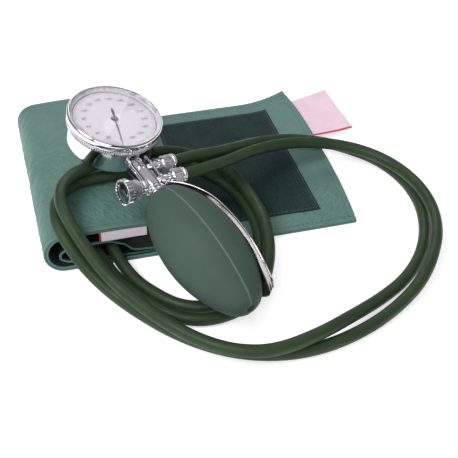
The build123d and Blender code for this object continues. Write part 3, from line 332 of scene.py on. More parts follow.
def buildWeave():
    # plain weave from the cloth's own UV map, which is in metres, plus slanting puckers where asked, with a painted
    # shade that follows them
    tree, given, out = newGroup("weave", [
        ("Place", "Vector", None), ("Threads", "Float", 1400.0), ("Pucker Slant", "Float", 0.6),
        ("Pucker Size", "Float", 330.0), ("Pucker", "Float", 0.0),
    ], [("Height", "Float"), ("Shade", "Float")])
    parts = addNode(tree, "ShaderNodeSeparateXYZ", {0: given["Place"]}).outputs
    waves = []
    for side in ("X", "Y"):
        count = addMath(tree, "MULTIPLY", parts[side], given["Threads"])
        waves.append(addMath(tree, "SINE", addMath(tree, "MULTIPLY", count, math.pi)))
    weave = addRange(tree, addMath(tree, "MULTIPLY", *waves), -1.0, toHigh=0.12)
    turned = addNode(tree, "ShaderNodeVectorRotate",
                     {"Vector": given["Place"], "Angle": given["Pucker Slant"]}, rotation_type="Z_AXIS")
    stretched = addNode(tree, "ShaderNodeVectorMath", {0: turned.outputs[0], 1: (1.0, 0.42, 1.0)}, operation="MULTIPLY")
    pucker = addNoise(tree, stretched.outputs[0], given["Pucker Size"], 2.0, Roughness=0.45, Distortion=0.7)
    swell = addMath(tree, "MULTIPLY", pucker, given["Pucker"])
    feed(tree, out["Height"], addMath(tree, "ADD", weave, swell))
    # painted light and shade that rise and fall with the puckers
    shade = addRange(tree, pucker, 0.35, 0.65, toLow=-1.0)
    feed(tree, out["Shade"], addMath(tree, "MULTIPLY", shade, given["Pucker"]))
    return tree


mottleGroup, grainGroup, weaveGroup = buildMottle(), buildGrain(), buildWeave()


def useGroup(tree, group, inputs):
    return addNode(tree, "ShaderNodeGroup", inputs, node_tree=group).outputs


def mottled(tree, place, color, size, drift, dust=0.0, dustColor=(0.5, 0.5, 0.5)):
    return useGroup(tree, mottleGroup, {
        "Place": place, "Color": (*color, 1), "Size": size, "Drift": drift, "Dust": dust,
        "Dust Color": (*dustColor, 1)})["Color"]


def closePaint(tree, shader, place, color, bump, grain, smudgeSize, smooth, dull, height=None):
    # the bump follows the height given, or else the grain's own
    grained = useGroup(tree, grainGroup, {
        "Place": place, "Size": grain, "Smudge Size": smudgeSize, "Smooth": smooth, "Dull": dull})
    if height is None:
        height = grained["Height"]
    relief = addNode(tree, "ShaderNodeBump", {"Strength": 1.0, "Distance": bump, "Height": height})
    feed(tree, shader.inputs["Base Color"], color)
    feed(tree, shader.inputs["Roughness"], grained["Roughness"])
    feed(tree, shader.inputs["Normal"], relief.outputs[0])


def dressedPaint(name, color, size, drift, smooth, dull, grain, bump, metallic=0.0, dust=0.0,
                 dustColor=(0.5, 0.5, 0.5), smudgeSize=90.0, line=None, **values):
    # the line is an attribute along which a painted highlight is drawn in the dust colour
    paint, tree, shader = startPaint(name, color, metallic, **values)
    place = addNode(tree, "ShaderNodeTexCoord").outputs["Object"]
    shown = mottled(tree, place, color, size, drift, dust, dustColor)
    if line:
        drawn = addNode(tree, "ShaderNodeAttribute", attribute_name=line).outputs["Fac"]
        shown = mixColor(tree, drawn, shown, (*dustColor, 1))
    closePaint(tree, shader, place, shown, bump, grain, smudgeSize, smooth, dull)
    return paint


def lensPaint():
    paint, tree, shader = startPaint("clearLens", (0.95, 0.96, 0.97), Transmission_Weight=1.0, IOR=1.32)
    place = addNode(tree, "ShaderNodeTexCoord").outputs["Object"]
    feed(tree, shader.inputs["Base Color"], mottled(tree, place, (0.97, 0.975, 0.985), 60, 0.01))
    wiped = useGroup(tree, grainGroup, {"Place": place, "Size": 800, "Smudge Size": 70, "Smooth": 0.0, "Dull": 0.03})
    feed(tree, shader.inputs["Roughness"], wiped["Roughness"])
    # light passes the lens, so that the dial is lit
    rays = addNode(tree, "ShaderNodeLightPath").outputs
    feed(tree, shader.inputs["Alpha"], addRange(tree, rays["Is Shadow Ray"], toLow=1.0, toHigh=0.06))
    return paint


def clothPaint(name, color, threads, puckerSize, slant, puckerDepth, smooth, dull, drift=0.08, **values):
    # the attribute pucker says where the cloth draws together; the other attribute marks the faces that get painted
    # shade
    paint, tree, shader = startPaint(name, color, **values)
    place = addNode(tree, "ShaderNodeTexCoord").outputs["Object"]
    flat = addNode(tree, "ShaderNodeUVMap", uv_map="cloth").outputs[0]
    puckers = addNode(tree, "ShaderNodeAttribute", attribute_name="pucker").outputs["Fac"]
    lining = addNode(tree, "ShaderNodeAttribute", attribute_name="lining").outputs["Fac"]
    woven = useGroup(tree, weaveGroup, {
        "Place": flat, "Pucker": puckers, "Threads": threads, "Pucker Slant": slant, "Pucker Size": puckerSize})
    lint = [min(1, part * 1.9 + 0.04) for part in color]
    drifted = mottled(tree, place, color, 38, drift, 0.05, lint)
    # the puckers' painted light and shade scale the colour by up to 14 percent
    shaded = addRange(tree, woven["Shade"], -1.0, toLow=0.86, toHigh=1.14)
    # painted shade darkens the marked faces to a tenth of their colour
    hidden = addRange(tree, lining, toLow=1.0, toHigh=0.1)
    level = addMath(tree, "MULTIPLY", shaded, hidden)
    toned = addNode(tree, "ShaderNodeVectorMath", {0: drifted, "Scale": level}, operation="SCALE")
    closePaint(tree, shader, place, toned.outputs[0], puckerDepth, 1500, 50, smooth, dull, woven["Height"])
    return paint


def tagPaint(name, color):
    # pale satin ribbon with a red thread along one edge, by the UV map in metres
    paint, tree, shader = startPaint(name, color)
    flat = addNode(tree, "ShaderNodeUVMap", uv_map="cloth").outputs[0]
    across = addNode(tree, "ShaderNodeSeparateXYZ", {0: flat}).outputs["X"]
    woven = useGroup(tree, weaveGroup, {"Place": flat, "Threads": 3000.0})
    edge = addRange(tree, across, 0.0016, 0.0012, smooth=True)
    shown = mixColor(tree, edge, mottled(tree, flat, color, 70, 0.05), (0.62, 0.03, 0.06, 1))
    closePaint(tree, shader, flat, shown, 0.00006, 1500, 60, 0.4, 0.55, woven["Height"])
    return paint


# each: color, size and share of drift, smooth and dull roughness, size of grain, depth of bump in metres
chromePlate = dressedPaint("chromePlate", (0.80, 0.785, 0.815), 70, 0.05, 0.045, 0.13, 1300, 0.000004, 1.0)
bladeSteel = dressedPaint("bladeSteel", (0.80, 0.775, 0.775), 60, 0.06, 0.07, 0.18, 900, 0.000006, 1.0)
knurlPlate = dressedPaint("knurledPlate", (0.66, 0.64, 0.67), 120, 0.08, 0.22, 0.34, 1500, 0.000006, 1.0)
screwSteel = dressedPaint("screwSteel", (0.60, 0.60, 0.61), 200, 0.1, 0.2, 0.35, 2200, 0.00001, 1.0)
brassPaint = dressedPaint("movementBrass", (0.70, 0.50, 0.22), 150, 0.12, 0.18, 0.34, 2500, 0.00001, 1.0)
bronzePaint = dressedPaint("capsuleBronze", (0.55, 0.33, 0.16), 120, 0.15, 0.22, 0.4, 2200, 0.00001, 1.0)
dialPaint = dressedPaint("dialEnamel", (0.415, 0.388, 0.438), 40, 0.03, 0.35, 0.5, 2500, 0.000004)
inkPaint = dressedPaint("dialInk", (0.012, 0.011, 0.018), 400, 0.2, 0.5, 0.6, 3000, 0.000002)
pointerPaint = dressedPaint("pointerBlack", (0.006, 0.004, 0.006), 400, 0.2, 0.3, 0.45, 2500, 0.000004)
gasketPaint = dressedPaint("gasketRubber", (0.56, 0.54, 0.60), 200, 0.1, 0.5, 0.65, 1800, 0.00001)
discRubber = dressedPaint("discRubber", (0.03, 0.03, 0.03), 300, 0.15, 0.5, 0.7, 1800, 0.00001)
threadPaint = dressedPaint("sewingThread", (0.075, 0.150, 0.125), 300, 0.15, 0.5, 0.65, 2500, 0.00002)
hookNylon = dressedPaint("hookNylon", (0.024, 0.092, 0.084), 300, 0.3, 0.45, 0.6, 2500, 0.00001,
                         Specular_IOR_Level=0.3)
bulbRubber = dressedPaint("bulbRubber", (0.054, 0.094, 0.075), 34, 0.08, 0.60, 0.74, 1500, 0.000035,
                          dust=0.04, dustColor=(0.15, 0.21, 0.17), smudgeSize=45, line="seam",
                          Specular_IOR_Level=0.3)
hoseRubber = dressedPaint("hoseRubber", (0.026, 0.052, 0.021), 55, 0.16, 0.42, 0.60, 1300, 0.00003,
                          dust=0.04, dustColor=(0.08, 0.11, 0.07), smudgeSize=60, Specular_IOR_Level=0.32)
bladderRubber = dressedPaint("bladderRubber", (0.030, 0.036, 0.030), 60, 0.15, 0.5, 0.7, 1300, 0.00003,
                             dust=0.2, dustColor=(0.10, 0.10, 0.09))
lensGlass = lensPaint()
# each: color, threads per metre, size, slant and depth of the puckers, smooth and dull roughness
cuffCloth = clothPaint("cuffCloth", (0.092, 0.205, 0.170), 1500, 500, 0.85, 0.00095, 0.44, 0.62, 0.07,
                       Sheen_Weight=0.12, Sheen_Roughness=0.45)
patchCloth = clothPaint("patchCloth", (0.008, 0.026, 0.025), 700, 500, 0.2, 0.0003, 0.7, 0.85, 0.15)
# the pocket's cloth is painted near black, as painted shade for the inside of the cuff
pocketShadeCloth = clothPaint("pocketShadeCloth", (0.008, 0.013, 0.011), 1500, 300, 0.3, 0.0003, 0.6, 0.8, 0.1)
tagSatin = tagPaint("tagSatin", (0.86, 0.64, 0.76))
# the inner tag takes a paler copy of the satin, painted light against the shade it lies in
innerSatinPaintedLight = tagPaint("innerTagSatinPaintedLight", (0.98, 0.86, 0.93))
for piece in (hoseRear, hoseFront):
    piece.data.materials.append(hoseRubber)
print("materials")


# mesh helpers
def newMesh(name, points, faces, edges=()):
    mesh = bpy.data.meshes.new(name)
    mesh.from_pydata([tuple(point) for point in points], list(edges), faces)
    return mesh


def cleaned(mesh, gap=1e-6):
    # merges doubled vertices, where a gap is given, and turns the faces outwards
    work = bmesh.new()
    work.from_mesh(mesh)
    if gap:
        bmesh.ops.remove_doubles(work, verts=work.verts, dist=gap)
    bmesh.ops.recalc_face_normals(work, faces=work.faces)
    work.to_mesh(mesh)
    work.free()
    return mesh


def joined(name, meshes):
    work = bmesh.new()
    for mesh in meshes:
        work.from_mesh(mesh)
    made = bpy.data.meshes.new(name)
    work.to_mesh(made)
    work.free()
    return made


def adopt(name, mesh, paint, body=restBody, sharp=35, place=None):
    # makes a finished mesh a piece that rides on a body
    mesh.name = name
    if place is not None:
        mesh.transform(place)
    mesh.materials.clear()
    mesh.materials.append(paint)
    mesh.shade_smooth()
    mesh.set_sharp_from_angle(angle=math.radians(sharp))
    piece = linked(name, mesh)
    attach(piece, body)
    return piece


def newPiece(name, points, faces, paint, body=restBody, sharp=35):
    return adopt(name, cleaned(newMesh(name, points, faces)), paint, body, sharp)


def standFor(piece, node):
    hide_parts(node)


def paintFaces(piece, paint, test, place=Matrix.Identity(4)):
    # the test is asked with each face's centre in millimetres, in the hand unit's frame where asked
    piece.data.materials.append(paint)
    back = place.inverted()
    for face in piece.data.polygons:
        if test((back @ face.center) / mm):
            face.material_index = len(piece.data.materials) - 1


def ringFaces(levels, size, closed=False):
    # quads between rings of points; the last ring meets the first, or else both ends get a cap
    faces = []
    for level in range(levels if closed else levels - 1):
        follow = (level + 1) % levels
        for step in range(size):
            after = (step + 1) % size
            faces.append((level * size + step, level * size + after, follow * size + after, follow * size + step))
    if not closed:
        faces.append(tuple(reversed(range(size))))
        faces.append(tuple(range((levels - 1) * size, levels * size)))
    return faces


def sheetFaces(rows, columns):
    # both sides of a grid of points, and the rim between them
    count = rows * columns
    faces = []
    for row in range(rows - 1):
        for column in range(columns - 1):
            a = row * columns + column
            faces.append((a, a + columns, a + columns + 1, a + 1))
            faces.append((count + a, count + a + 1, count + a + columns + 1, count + a + columns))
    border = [row * columns for row in range(rows)]
    border += [(rows - 1) * columns + column for column in range(1, columns)]
    border += [row * columns + columns - 1 for row in range(rows - 2, -1, -1)]
    border += range(columns - 2, 0, -1)
    return faces + [(a, b, count + b, count + a) for a, b in zip(border, border[1:] + border[:1])]


def softened(corners, steps=4):
    # a corner of an outline may have a third number, how far its rounding reaches
    points = []
    for index, (reach, radius, *soft) in enumerate(corners):
        here = Vector((reach, radius))
        if not soft:
            points.append(here)
            continue
        before = Vector(corners[index - 1][:2]) - here
        after = Vector(corners[(index + 1) % len(corners)][:2]) - here
        start = here + before.normalized() * min(soft[0], before.length * 0.5)
        end = here + after.normalized() * min(soft[0], after.length * 0.5)
        for step in range(steps + 1):
            share = step / steps
            points.append((1 - share) ** 2 * start + 2 * share * (1 - share) * here + share**2 * end)
    return points


turnAxes = {
    "X": (Vector((1, 0, 0)), Vector((0, 1, 0)), Vector((0, 0, 1))),
    "Y": (Vector((0, 1, 0)), Vector((1, 0, 0)), Vector((0, 0, 1))),
    "Z": (Vector((0, 0, 1)), Vector((1, 0, 0)), Vector((0, 1, 0))),
}


def turnedPiece(name, corners, paint, count, axis="Z", station=0, body=restBody, ridge=None, sharp=35, steps=4,
                angles=None):
    # a closed outline of (reach, radius) in millimetres, spun about one of the hand unit's axes
    along, side, up = turnAxes[axis]
    start = Vector((station, 0, 0))
    angles = angles or evenAngles(count)
    profile = softened(corners, steps)
    points = []
    for reach, radius in profile:
        for angle in angles:
            grown = radius + (ridge(angle, reach, radius) if ridge else 0)
            spot = start + along * reach + (side * math.cos(angle) + up * math.sin(angle)) * grown
            points.append(unitPlace @ (spot * mm))
    return newPiece(name, points, ringFaces(len(profile), len(angles), True), paint, body, sharp)


def clothPiece(name, points, faces, flats, paint, sharp, gap=2e-6, **levels):
    # flats are the cloth's own places in metres; each further list becomes an attribute
    mesh = newMesh(name, points, faces)
    layer = mesh.uv_layers.new(name="cloth")
    for loop in mesh.loops:
        layer.data[loop.index].uv = flats[loop.vertex_index]
    for key, values in levels.items():
        strength = mesh.attributes.new(key, "FLOAT", "POINT")
        for item, value in zip(strength.data, values):
            item.value = value
    return adopt(name, cleaned(mesh, gap), paint, sharp=sharp)


def gridNormal(grid, column, station):
    a = grid[min(column + 1, len(grid) - 1)][station] - grid[max(column - 1, 0)][station]
    b = grid[column][min(station + 1, len(grid[0]) - 1)] - grid[column][max(station - 1, 0)]
    return b.cross(a).normalized()


def closedSheet(name, rows, columns, spotAt, thickness, paint):
    # a sheet of even thickness about a grid of spots in millimetres, with a rounded rim
    cells = [[spotAt(row, column) for column in range(columns)] for row in range(rows)]
    grid = [[place for place, flat in row] for row in cells]
    points, flats = [], []
    for side in (1, -1):
        for row in range(rows):
            for column in range(columns):
                rim = row in (0, rows - 1) or column in (0, columns - 1)
                normal = gridNormal(grid, row, column)
                points.append((grid[row][column] + normal * (side * thickness / 2 * (0.7 if rim else 1))) * mm)
                flats.append(cells[row][column][1])
    return clothPiece(name, points, sheetFaces(rows, columns), flats, paint, 50, pucker=[0.0] * len(points))


# geometry nodes that repeat things
def newNodeTree(name, inputs):
    tree = bpy.data.node_groups.new(name, "GeometryNodeTree")
    sockets = [("Geometry", "Geometry"), ("Copy", "Object"), *inputs, ("Paint", "Material")]
    for label, kind in sockets:
        tree.interface.new_socket(label, in_out="INPUT", socket_type="NodeSocket" + kind)
    tree.interface.new_socket("Geometry", in_out="OUTPUT", socket_type="NodeSocketGeometry")
    return tree, tree.nodes.new("NodeGroupInput").outputs


def closeTree(tree, given, points, rotation):
    shape = addNode(tree, "GeometryNodeObjectInfo", {"Object": given["Copy"]}).outputs["Geometry"]
    copies = addNode(tree, "GeometryNodeInstanceOnPoints", {"Points": points, "Instance": shape, "Rotation": rotation})
    real = addNode(tree, "GeometryNodeRealizeInstances", {0: copies.outputs[0]})
    painted = addNode(tree, "GeometryNodeSetMaterial", {"Geometry": real.outputs[0], "Material": given["Paint"]})
    feed(tree, tree.nodes.new("NodeGroupOutput").inputs["Geometry"], painted.outputs[0])
    return tree


def aligned(tree, axis, vector, **more):
    inputs = {"Vector": vector}
    if "rotation" in more:
        inputs["Rotation"] = more.pop("rotation")
    return addNode(tree, "FunctionNodeAlignRotationToVector", inputs, axis=axis, **more).outputs[0]


def buildRingTree():
    tree, given = newNodeTree("copiesAroundRing", [
        ("Count", "Int"), ("Radius", "Float"), ("Height", "Float"), ("Start", "Float"), ("Step", "Float")])
    index = addNode(tree, "GeometryNodeInputIndex").outputs[0]
    turned = addMath(tree, "MULTIPLY_ADD", index, given["Step"], given["Start"])
    reach = [addMath(tree, "MULTIPLY", addMath(tree, wave, turned), given["Radius"]) for wave in ("COSINE", "SINE")]
    spot = addNode(tree, "ShaderNodeCombineXYZ", enumerate([*reach, given["Height"]])).outputs[0]
    facing = addNode(tree, "ShaderNodeCombineXYZ", {2: turned}).outputs[0]
    points = addNode(tree, "GeometryNodePoints", {"Count": given["Count"], "Position": spot}).outputs[0]
    return closeTree(tree, given, points, facing)


def buildPathTree():
    tree, given = newNodeTree("stitchesAlongPath", [("Pitch", "Float")])
    line = addNode(tree, "GeometryNodeMeshToCurve", {0: given["Geometry"]}).outputs[0]
    spaced = addNode(tree, "GeometryNodeResampleCurve", {"Curve": line, "Length": given["Pitch"]}, mode="LENGTH")
    normal = addNode(tree, "GeometryNodeInputNamedAttribute", {"Name": "facing"}, data_type="FLOAT_VECTOR").outputs[0]
    tangent = addNode(tree, "GeometryNodeInputTangent").outputs[0]
    upright = aligned(tree, "Z", normal)
    headed = aligned(tree, "X", tangent, rotation=upright, pivot_axis="Z")
    return closeTree(tree, given, spaced.outputs[0], headed)


def buildFieldTree():
    tree, given = newNodeTree("hooksOnField", [("Lean", "Float"), ("Seed", "Int")])
    upright = aligned(tree, "Z", addNode(tree, "GeometryNodeInputNormal").outputs[0])
    low = addMath(tree, "MULTIPLY", given["Lean"], -1.0)
    sway = []
    for axis in range(3):
        seed = addMath(tree, "ADD", given["Seed"], float(axis))
        chance = addNode(tree, "FunctionNodeRandomValue", {"Seed": seed, 2: low, 3: given["Lean"]}, data_type="FLOAT")
        sway.append(chance.outputs[1])
    lean = addNode(tree, "ShaderNodeCombineXYZ", enumerate(sway)).outputs[0]
    swayed = addNode(tree, "FunctionNodeRotateRotation", {"Rotation": upright, "Rotate By": lean},
                     rotation_space="LOCAL")
    return closeTree(tree, given, given["Geometry"], swayed.outputs[0])


ringTree, pathTree, fieldTree = buildRingTree(), buildPathTree(), buildFieldTree()


def plainMesh(holder):
    # keeps the evaluated mesh and drops the object
    bpy.context.view_layer.update()
    made = bpy.data.meshes.new_from_object(holder.evaluated_get(bpy.context.evaluated_depsgraph_get()))
    bpy.data.objects.remove(holder)
    return made


def runTree(name, tree, guide, copyPoints, copyFaces, paint, **values):
    # copies a small shape with one of the trees, whose sockets are set by their identifiers
    pattern = linked(name + "Pattern", newMesh(name + "Pattern", copyPoints, copyFaces))
    holder = linked(name, guide)
    worker = holder.modifiers.new(name, "NODES")
    worker.node_group = tree
    sockets = {item.name: item.identifier for item in tree.interface.items_tree if item.in_out == "INPUT"}
    for key, value in {"Copy": pattern, "Paint": paint, **values}.items():
        worker[sockets[key]] = value
    made = plainMesh(holder)
    bpy.data.objects.remove(pattern)
    return made


print("helpers")


# gauge: case, bezel, lens and dial
gauge = {
    "caseRadius": 26.5, "caseLow": -10.4, "caseHigh": 11.6, "caseCorner": 7.0, "caseWall": 1.2,
    "bandRadius": 28.2, "rimRadius": 28.7, "rimHigh": 15.2,
    "ridges": 132, "ridgeProud": 0.55, "ridgeLow": 6.9, "ridgeHigh": 10.0,
}


def makeCase():
    radius, corner, wall = gauge["caseRadius"], gauge["caseCorner"], gauge["caseWall"]
    low, high = gauge["caseLow"], gauge["caseHigh"]
    outline = [(low, 0)]
    for step in range(13):
        angle = math.radians(90 * step / 12)
        outline.append((low + corner - corner * math.cos(angle), radius - corner + corner * math.sin(angle)))
    outline += [
        (high - 0.3, radius), (high, radius - 0.3), (high, radius - 1.0), (high - 0.2, radius - wall),
        (low + corner, radius - wall), (low + 3.2, radius - 3.6), (low + wall, radius - 7), (low + wall, 0)]
    piece = turnedPiece("caseShell", outline, chromePlate, 160)
    # the wall is enamelled inside, above the dial plate
    paintFaces(piece, dialPaint, lambda spot: math.hypot(spot.x, spot.y) < radius - 0.9 and spot.z > 3, unitPlace)
    standFor(piece, "gauge_case")


def makeBezel():
    rim, band, high = gauge["rimRadius"], gauge["bandRadius"], gauge["rimHigh"]
    outline = [
        (6.6, 26.6), (6.6, band - 0.7, 0.25), (6.9, band - 0.5, 0.2), (10.1, band - 0.5, 0.2),
        (10.4, band - 0.75, 0.15), (10.75, band - 0.7, 0.1), (10.95, rim - 0.5, 0.25), (11.5, rim, 0.5),
        (high - 1.1, rim, 0.6), (high - 0.12, rim - 0.75, 0.5), (high, rim - 1.25, 0.2),
        (high - 0.12, 27.35, 0.15), (14.6, 27.3, 0.05), (14.6, 27.9), (11.6, 27.9), (11.6, 26.6),
    ]
    standFor(turnedPiece("bezelRim", outline, chromePlate, 192), "bezel_ring")


def makeRidges():
    # one half-round ridge, copied around the band
    low, top, proud = gauge["ridgeLow"] * mm, gauge["ridgeHigh"] * mm, gauge["ridgeProud"] * mm
    half = math.pi * gauge["bandRadius"] * mm / gauge["ridges"] * 0.78
    sunk, bevel = -0.15 * mm, 0.25 * mm
    outline = [(sunk, -half), (proud * 0.75, -half * 0.55), (proud, 0), (proud * 0.75, half * 0.55), (sunk, half)]
    points = []
    for height, share in ((low, 0.3), (low + bevel, 1), (top - bevel, 1), (top, 0.3)):
        points += [(x * share if x > 0 else x, y, height) for x, y in outline]
    mesh = runTree(
        "bezelRidges", ringTree, bpy.data.meshes.new("ringGuide"), points, ringFaces(4, 5), knurlPlate,
        Count=gauge["ridges"], Radius=(gauge["bandRadius"] - 0.5) * mm, Height=0.0,
        Start=0.0, Step=2 * math.pi / gauge["ridges"])
    adopt("bezelRidges", mesh, knurlPlate, sharp=60, place=unitPlace)


def makeLens():
    outline = [(12.5, 0), (12.5, 27.75, 0.1), (14.3, 27.75, 0.2), (14.6, 27.2, 0.3), (14.62, 24.0), (14.62, 0)]
    standFor(turnedPiece("gaugeLens", outline, lensGlass, 160), "gauge_glass")


dial = {
    "low": 8.02, "height": 11.4, "radius": 25.0, "hole": 2.3, "zeroBearing": -18.0, "sweep": 337.5, "top": 300,
    "numberEvery": 20, "numberRadius": 18.4, "numberSize": 3.0, "upBearing": 173.25, "inkDepth": 0.03,
    "tickOuter": 23.9,
    # name, spacing on the scale, length and width of the ticks
    "ticks": [("fineTicks", 2, 0.85, 0.10), ("tenTicks", 10, 1.35, 0.16), ("twentyTicks", 20, 2.0, 0.24)],
}


def makeDialFace():
    # a printed face on a raised disc, just under the lens
    low, high, radius, hole = dial["low"], dial["height"], dial["radius"], dial["hole"]
    outline = [(low, hole), (low, radius), (high - 0.5, radius, 0.1), (high, radius - 0.5, 0.3), (high, hole, 0.1)]
    turnedPiece("dialFace", outline, dialPaint, 128)


def tickMesh(label, every, length, width):
    half, long = width * mm / 2, length * mm
    corners = [(-long, -half), (0, -half), (0, half), (-long, half)]
    points = [(x, y, z) for z in (0, dial["inkDepth"] * mm) for x, y in corners]
    return runTree(
        label, ringTree, bpy.data.meshes.new(label), points, ringFaces(2, 4), inkPaint,
        Count=dial["top"] // every + 1, Radius=dial["tickOuter"] * mm, Height=dial["height"] * mm,
        Start=math.radians(dial["zeroBearing"]), Step=-math.radians(dial["sweep"]) * every / dial["top"])


def numberMesh(number):
    up = math.radians(dial["upBearing"])
    bearing = math.radians(dial["zeroBearing"] - dial["sweep"] * number / dial["top"])
    centre = Vector((math.cos(bearing), math.sin(bearing), 0)) * dial["numberRadius"] * mm
    text = bpy.data.curves.new("dialNumber", "FONT")
    text.body = str(number)
    text.size = dial["numberSize"] * mm
    text.align_x, text.align_y = "CENTER", "CENTER"
    text.extrude = dial["inkDepth"] * mm / 2
    text.resolution_u = 3
    made = plainMesh(linked("dialNumber", text))
    made.transform(Matrix((
        (math.sin(up), math.cos(up), 0, centre.x), (-math.cos(up), math.sin(up), 0, centre.y),
        (0, 0, 1, (dial["height"] + dial["inkDepth"] / 2) * mm), (0, 0, 0, 1))))
    return made


def makeDialMarks():
    ink = [tickMesh(*row) for row in dial["ticks"]]
    ink += [numberMesh(number) for number in range(0, dial["top"] + 1, dial["numberEvery"])]
    mesh = cleaned(joined("dialMarks", ink), 0)
    adopt("dialMarks", mesh, inkPaint, sharp=30, place=unitPlace)


pointer = {
    "low": 11.92, "high": 12.1, "length": 21.5, "tail": 9.0, "hub": 1.8,
    # half widths along the blade, from the tail's end to the tip
    "outline": [(-1.0, 0.42), (-0.62, 0.85), (-0.2, 0.55), (0.0, 0.5), (0.5, 0.3), (1.0, 0.16)],
}


def makePointer():
    turn = Matrix.Rotation(math.radians(dial["zeroBearing"]), 4, "Z")
    half = [(share * (pointer["tail"] if share < 0 else pointer["length"]), width)
            for share, width in pointer["outline"]]
    outline = half + [(x, -width) for x, width in reversed(half)]
    points = [unitPlace @ turn @ (Vector((x, y, z)) * mm)
              for z in (pointer["low"], pointer["high"]) for x, y in outline]
    blade = newPiece("pointerBlade", points, ringFaces(2, len(outline)), pointerPaint, "pointer_staff", 30)
    outline = [(9.0, 0), (9.0, pointer["hub"], 0.1), (12.3, pointer["hub"], 0.25), (12.35, 0.8), (12.35, 0)]
    hub = turnedPiece("pointerHub", outline, pointerPaint, 48, body="pointer_staff")
    standFor(hub, "pointer")


makeCase()
makeBezel()
makeRidges()
makeLens()
makeDialFace()
makePointer()
makeDialMarks()
print("gauge")


# valve block, unions, nuts, nipple and knob
block = {
    "half": 5.2, "edge": 2.6, "ledge": 0.9, "backHalf": 4.35, "start": 24.2, "shoulder": 27.6, "end": 51.0,
    "valve": 47.0, "neck": 0.30, "shoulderReach": 1.5,
    # how far each ring near the far end lies from it, and how much it is drawn in
    "bevel": [(0.9, 0.0), (0.45, 0.08), (0.15, 0.28), (0, 0.6)],
}


def blockRing(shrink, rise):
    # a squared foot, a ledge on both sides, and a rounded back that is rise of its full height
    half, edge, ledge = block["half"] - shrink, block["edge"], block["ledge"]
    backHalf = (block["backHalf"] - shrink) * (0.72 + 0.28 * rise)
    backHigh = (half - ledge) * rise
    ring = []
    for side, first in ((-1, 180), (1, 270)):
        for step in range(9):
            angle = math.radians(first + 90 * step / 8)
            ring.append((side * (half - edge) + edge * math.cos(angle), edge - half + edge * math.sin(angle)))
    ring += [(half, ledge - 0.25), (half - 0.08, ledge - 0.07), (half - 0.25, ledge), (backHalf + 0.12, ledge)]
    for step in range(25):
        angle = math.radians(180 * step / 24)
        ring.append((backHalf * math.cos(angle), ledge + 0.1 + (backHigh - 0.1) * math.sin(angle)))
    ring += [(-backHalf - 0.12, ledge), (0.25 - half, ledge), (0.08 - half, ledge - 0.07), (-half, ledge - 0.25)]
    return ring


def makeBlock():
    shoulder, neck = block["shoulder"], block["neck"]
    stations = [(block["start"], 0.0, neck), (shoulder, 0.0, neck)]
    for step in range(1, 9):
        turn = math.radians(90 * step / 8)
        reach = shoulder + block["shoulderReach"] * (1 - math.cos(turn)) + 0.01 * step
        stations.append((reach, 0.0, neck + (1 - neck) * math.sin(turn)))
    stations += [(block["end"] - back, shrink, 1) for back, shrink in block["bevel"]]
    rings = [[onUnit(reach, y, z) for y, z in blockRing(shrink, rise)] for reach, shrink, rise in stations]
    piece = newPiece("valveBlock", sum(rings, []), ringFaces(len(rings), len(rings[0])), chromePlate, sharp=32)
    standFor(piece, "valve_block")


union = {
    "outline": [
        (0.5, 2.0), (0.5, 3.0), (6.1, 3.0), (6.1, 4.4, 0.25), (7.9, 4.4, 0.35), (7.9, 3.1, 0.15),
        (8.3, 2.75, 0.2), (9.0, 2.9, 0.2), (12.0, 2.9), (12.0, 3.6), (13.9, 3.6), (13.9, 2.9), (24.0, 2.9), (24.0, 2.0),
    ],
    "nutStart": 14.0, "nutEnd": 23.9, "nutRadius": 4.9, "nutBore": 2.98, "knurls": 30, "knurlDepth": 0.30,
}


def makeUnion(label, station):
    piece = turnedPiece("union" + label.title(), union["outline"], chromePlate, 64, "Y", station)
    standFor(piece, "union_" + label)
    start, end, radius, bore = union["nutStart"], union["nutEnd"], union["nutRadius"], union["nutBore"]
    outline = [
        (start, bore), (start, radius - 0.6, 0.2), (start + 0.7, radius, 0.15),
        (start + 6.4, radius, 0.15), (start + 6.9, radius - 0.55, 0.2), (start + 7.6, radius - 0.55, 0.2),
        (start + 8.0, radius - 0.1, 0.15), (end - 0.9, radius - 0.1, 0.3), (end, radius - 0.7, 0.25), (end, bore)]

    def knurl(angle, reach, radius):
        # sharp-topped grooves
        if not start + 0.6 <= reach <= start + 6.45:
            return 0
        return -union["knurlDepth"] * (0.5 + 0.5 * math.cos(angle * union["knurls"])) ** 1.6

    nut = turnedPiece("unionNut" + label.title(), outline, chromePlate, 240, "Y", station,
                      label + "_union_nut", knurl, 55, 3)
    paintFaces(nut, knurlPlate, lambda spot: start + 0.4 < spot.y < start + 6.5, unitPlace)
    standFor(nut, "union_nut_" + label)


def makeNipple():
    outline = [
        (51.0, 3.4), (51.0, 4.8, 0.2), (51.4, 5.1, 0.2), (52.5, 5.1, 0.2), (52.9, 4.6, 0.2), (53.5, 4.6, 0.2),
        (53.9, 5.1, 0.2), (55.4, 5.1, 0.3), (55.4, 4.6), (66.8, 4.6, 0.3), (68.0, 3.6, 0.3), (68.0, 2.0),
        (54.2, 2.0), (54.2, 3.4)]
    standFor(turnedPiece("bulbNipple", outline, chromePlate, 64, "X"), "bulb_nipple")


def makeBonnet():
    outline = [
        (-3.7, 1.28), (-3.7, 3.0), (-5.2, 3.0), (-5.2, 4.4, 0.2), (-6.6, 4.4, 0.2), (-6.9, 4.0, 0.2),
        (-7.3, 4.0, 0.2), (-7.6, 4.4, 0.2), (-8.6, 4.4, 0.35), (-8.6, 3.0), (-14.0, 3.0), (-14.0, 1.28)]
    standFor(turnedPiece("valveBonnet", outline, chromePlate, 64, "Y", block["valve"]), "valve_bonnet")


knob = {
    "flutes": 24, "fluteDepth": 0.62, "rimFrom": -15.2, "diamonds": 40, "diamondSlant": 5.5, "diamondDepth": 0.16,
    "waistFrom": -11.9, "waistLength": 2.9, "waistRadius": 5.4, "waistFlare": 6.5,
}


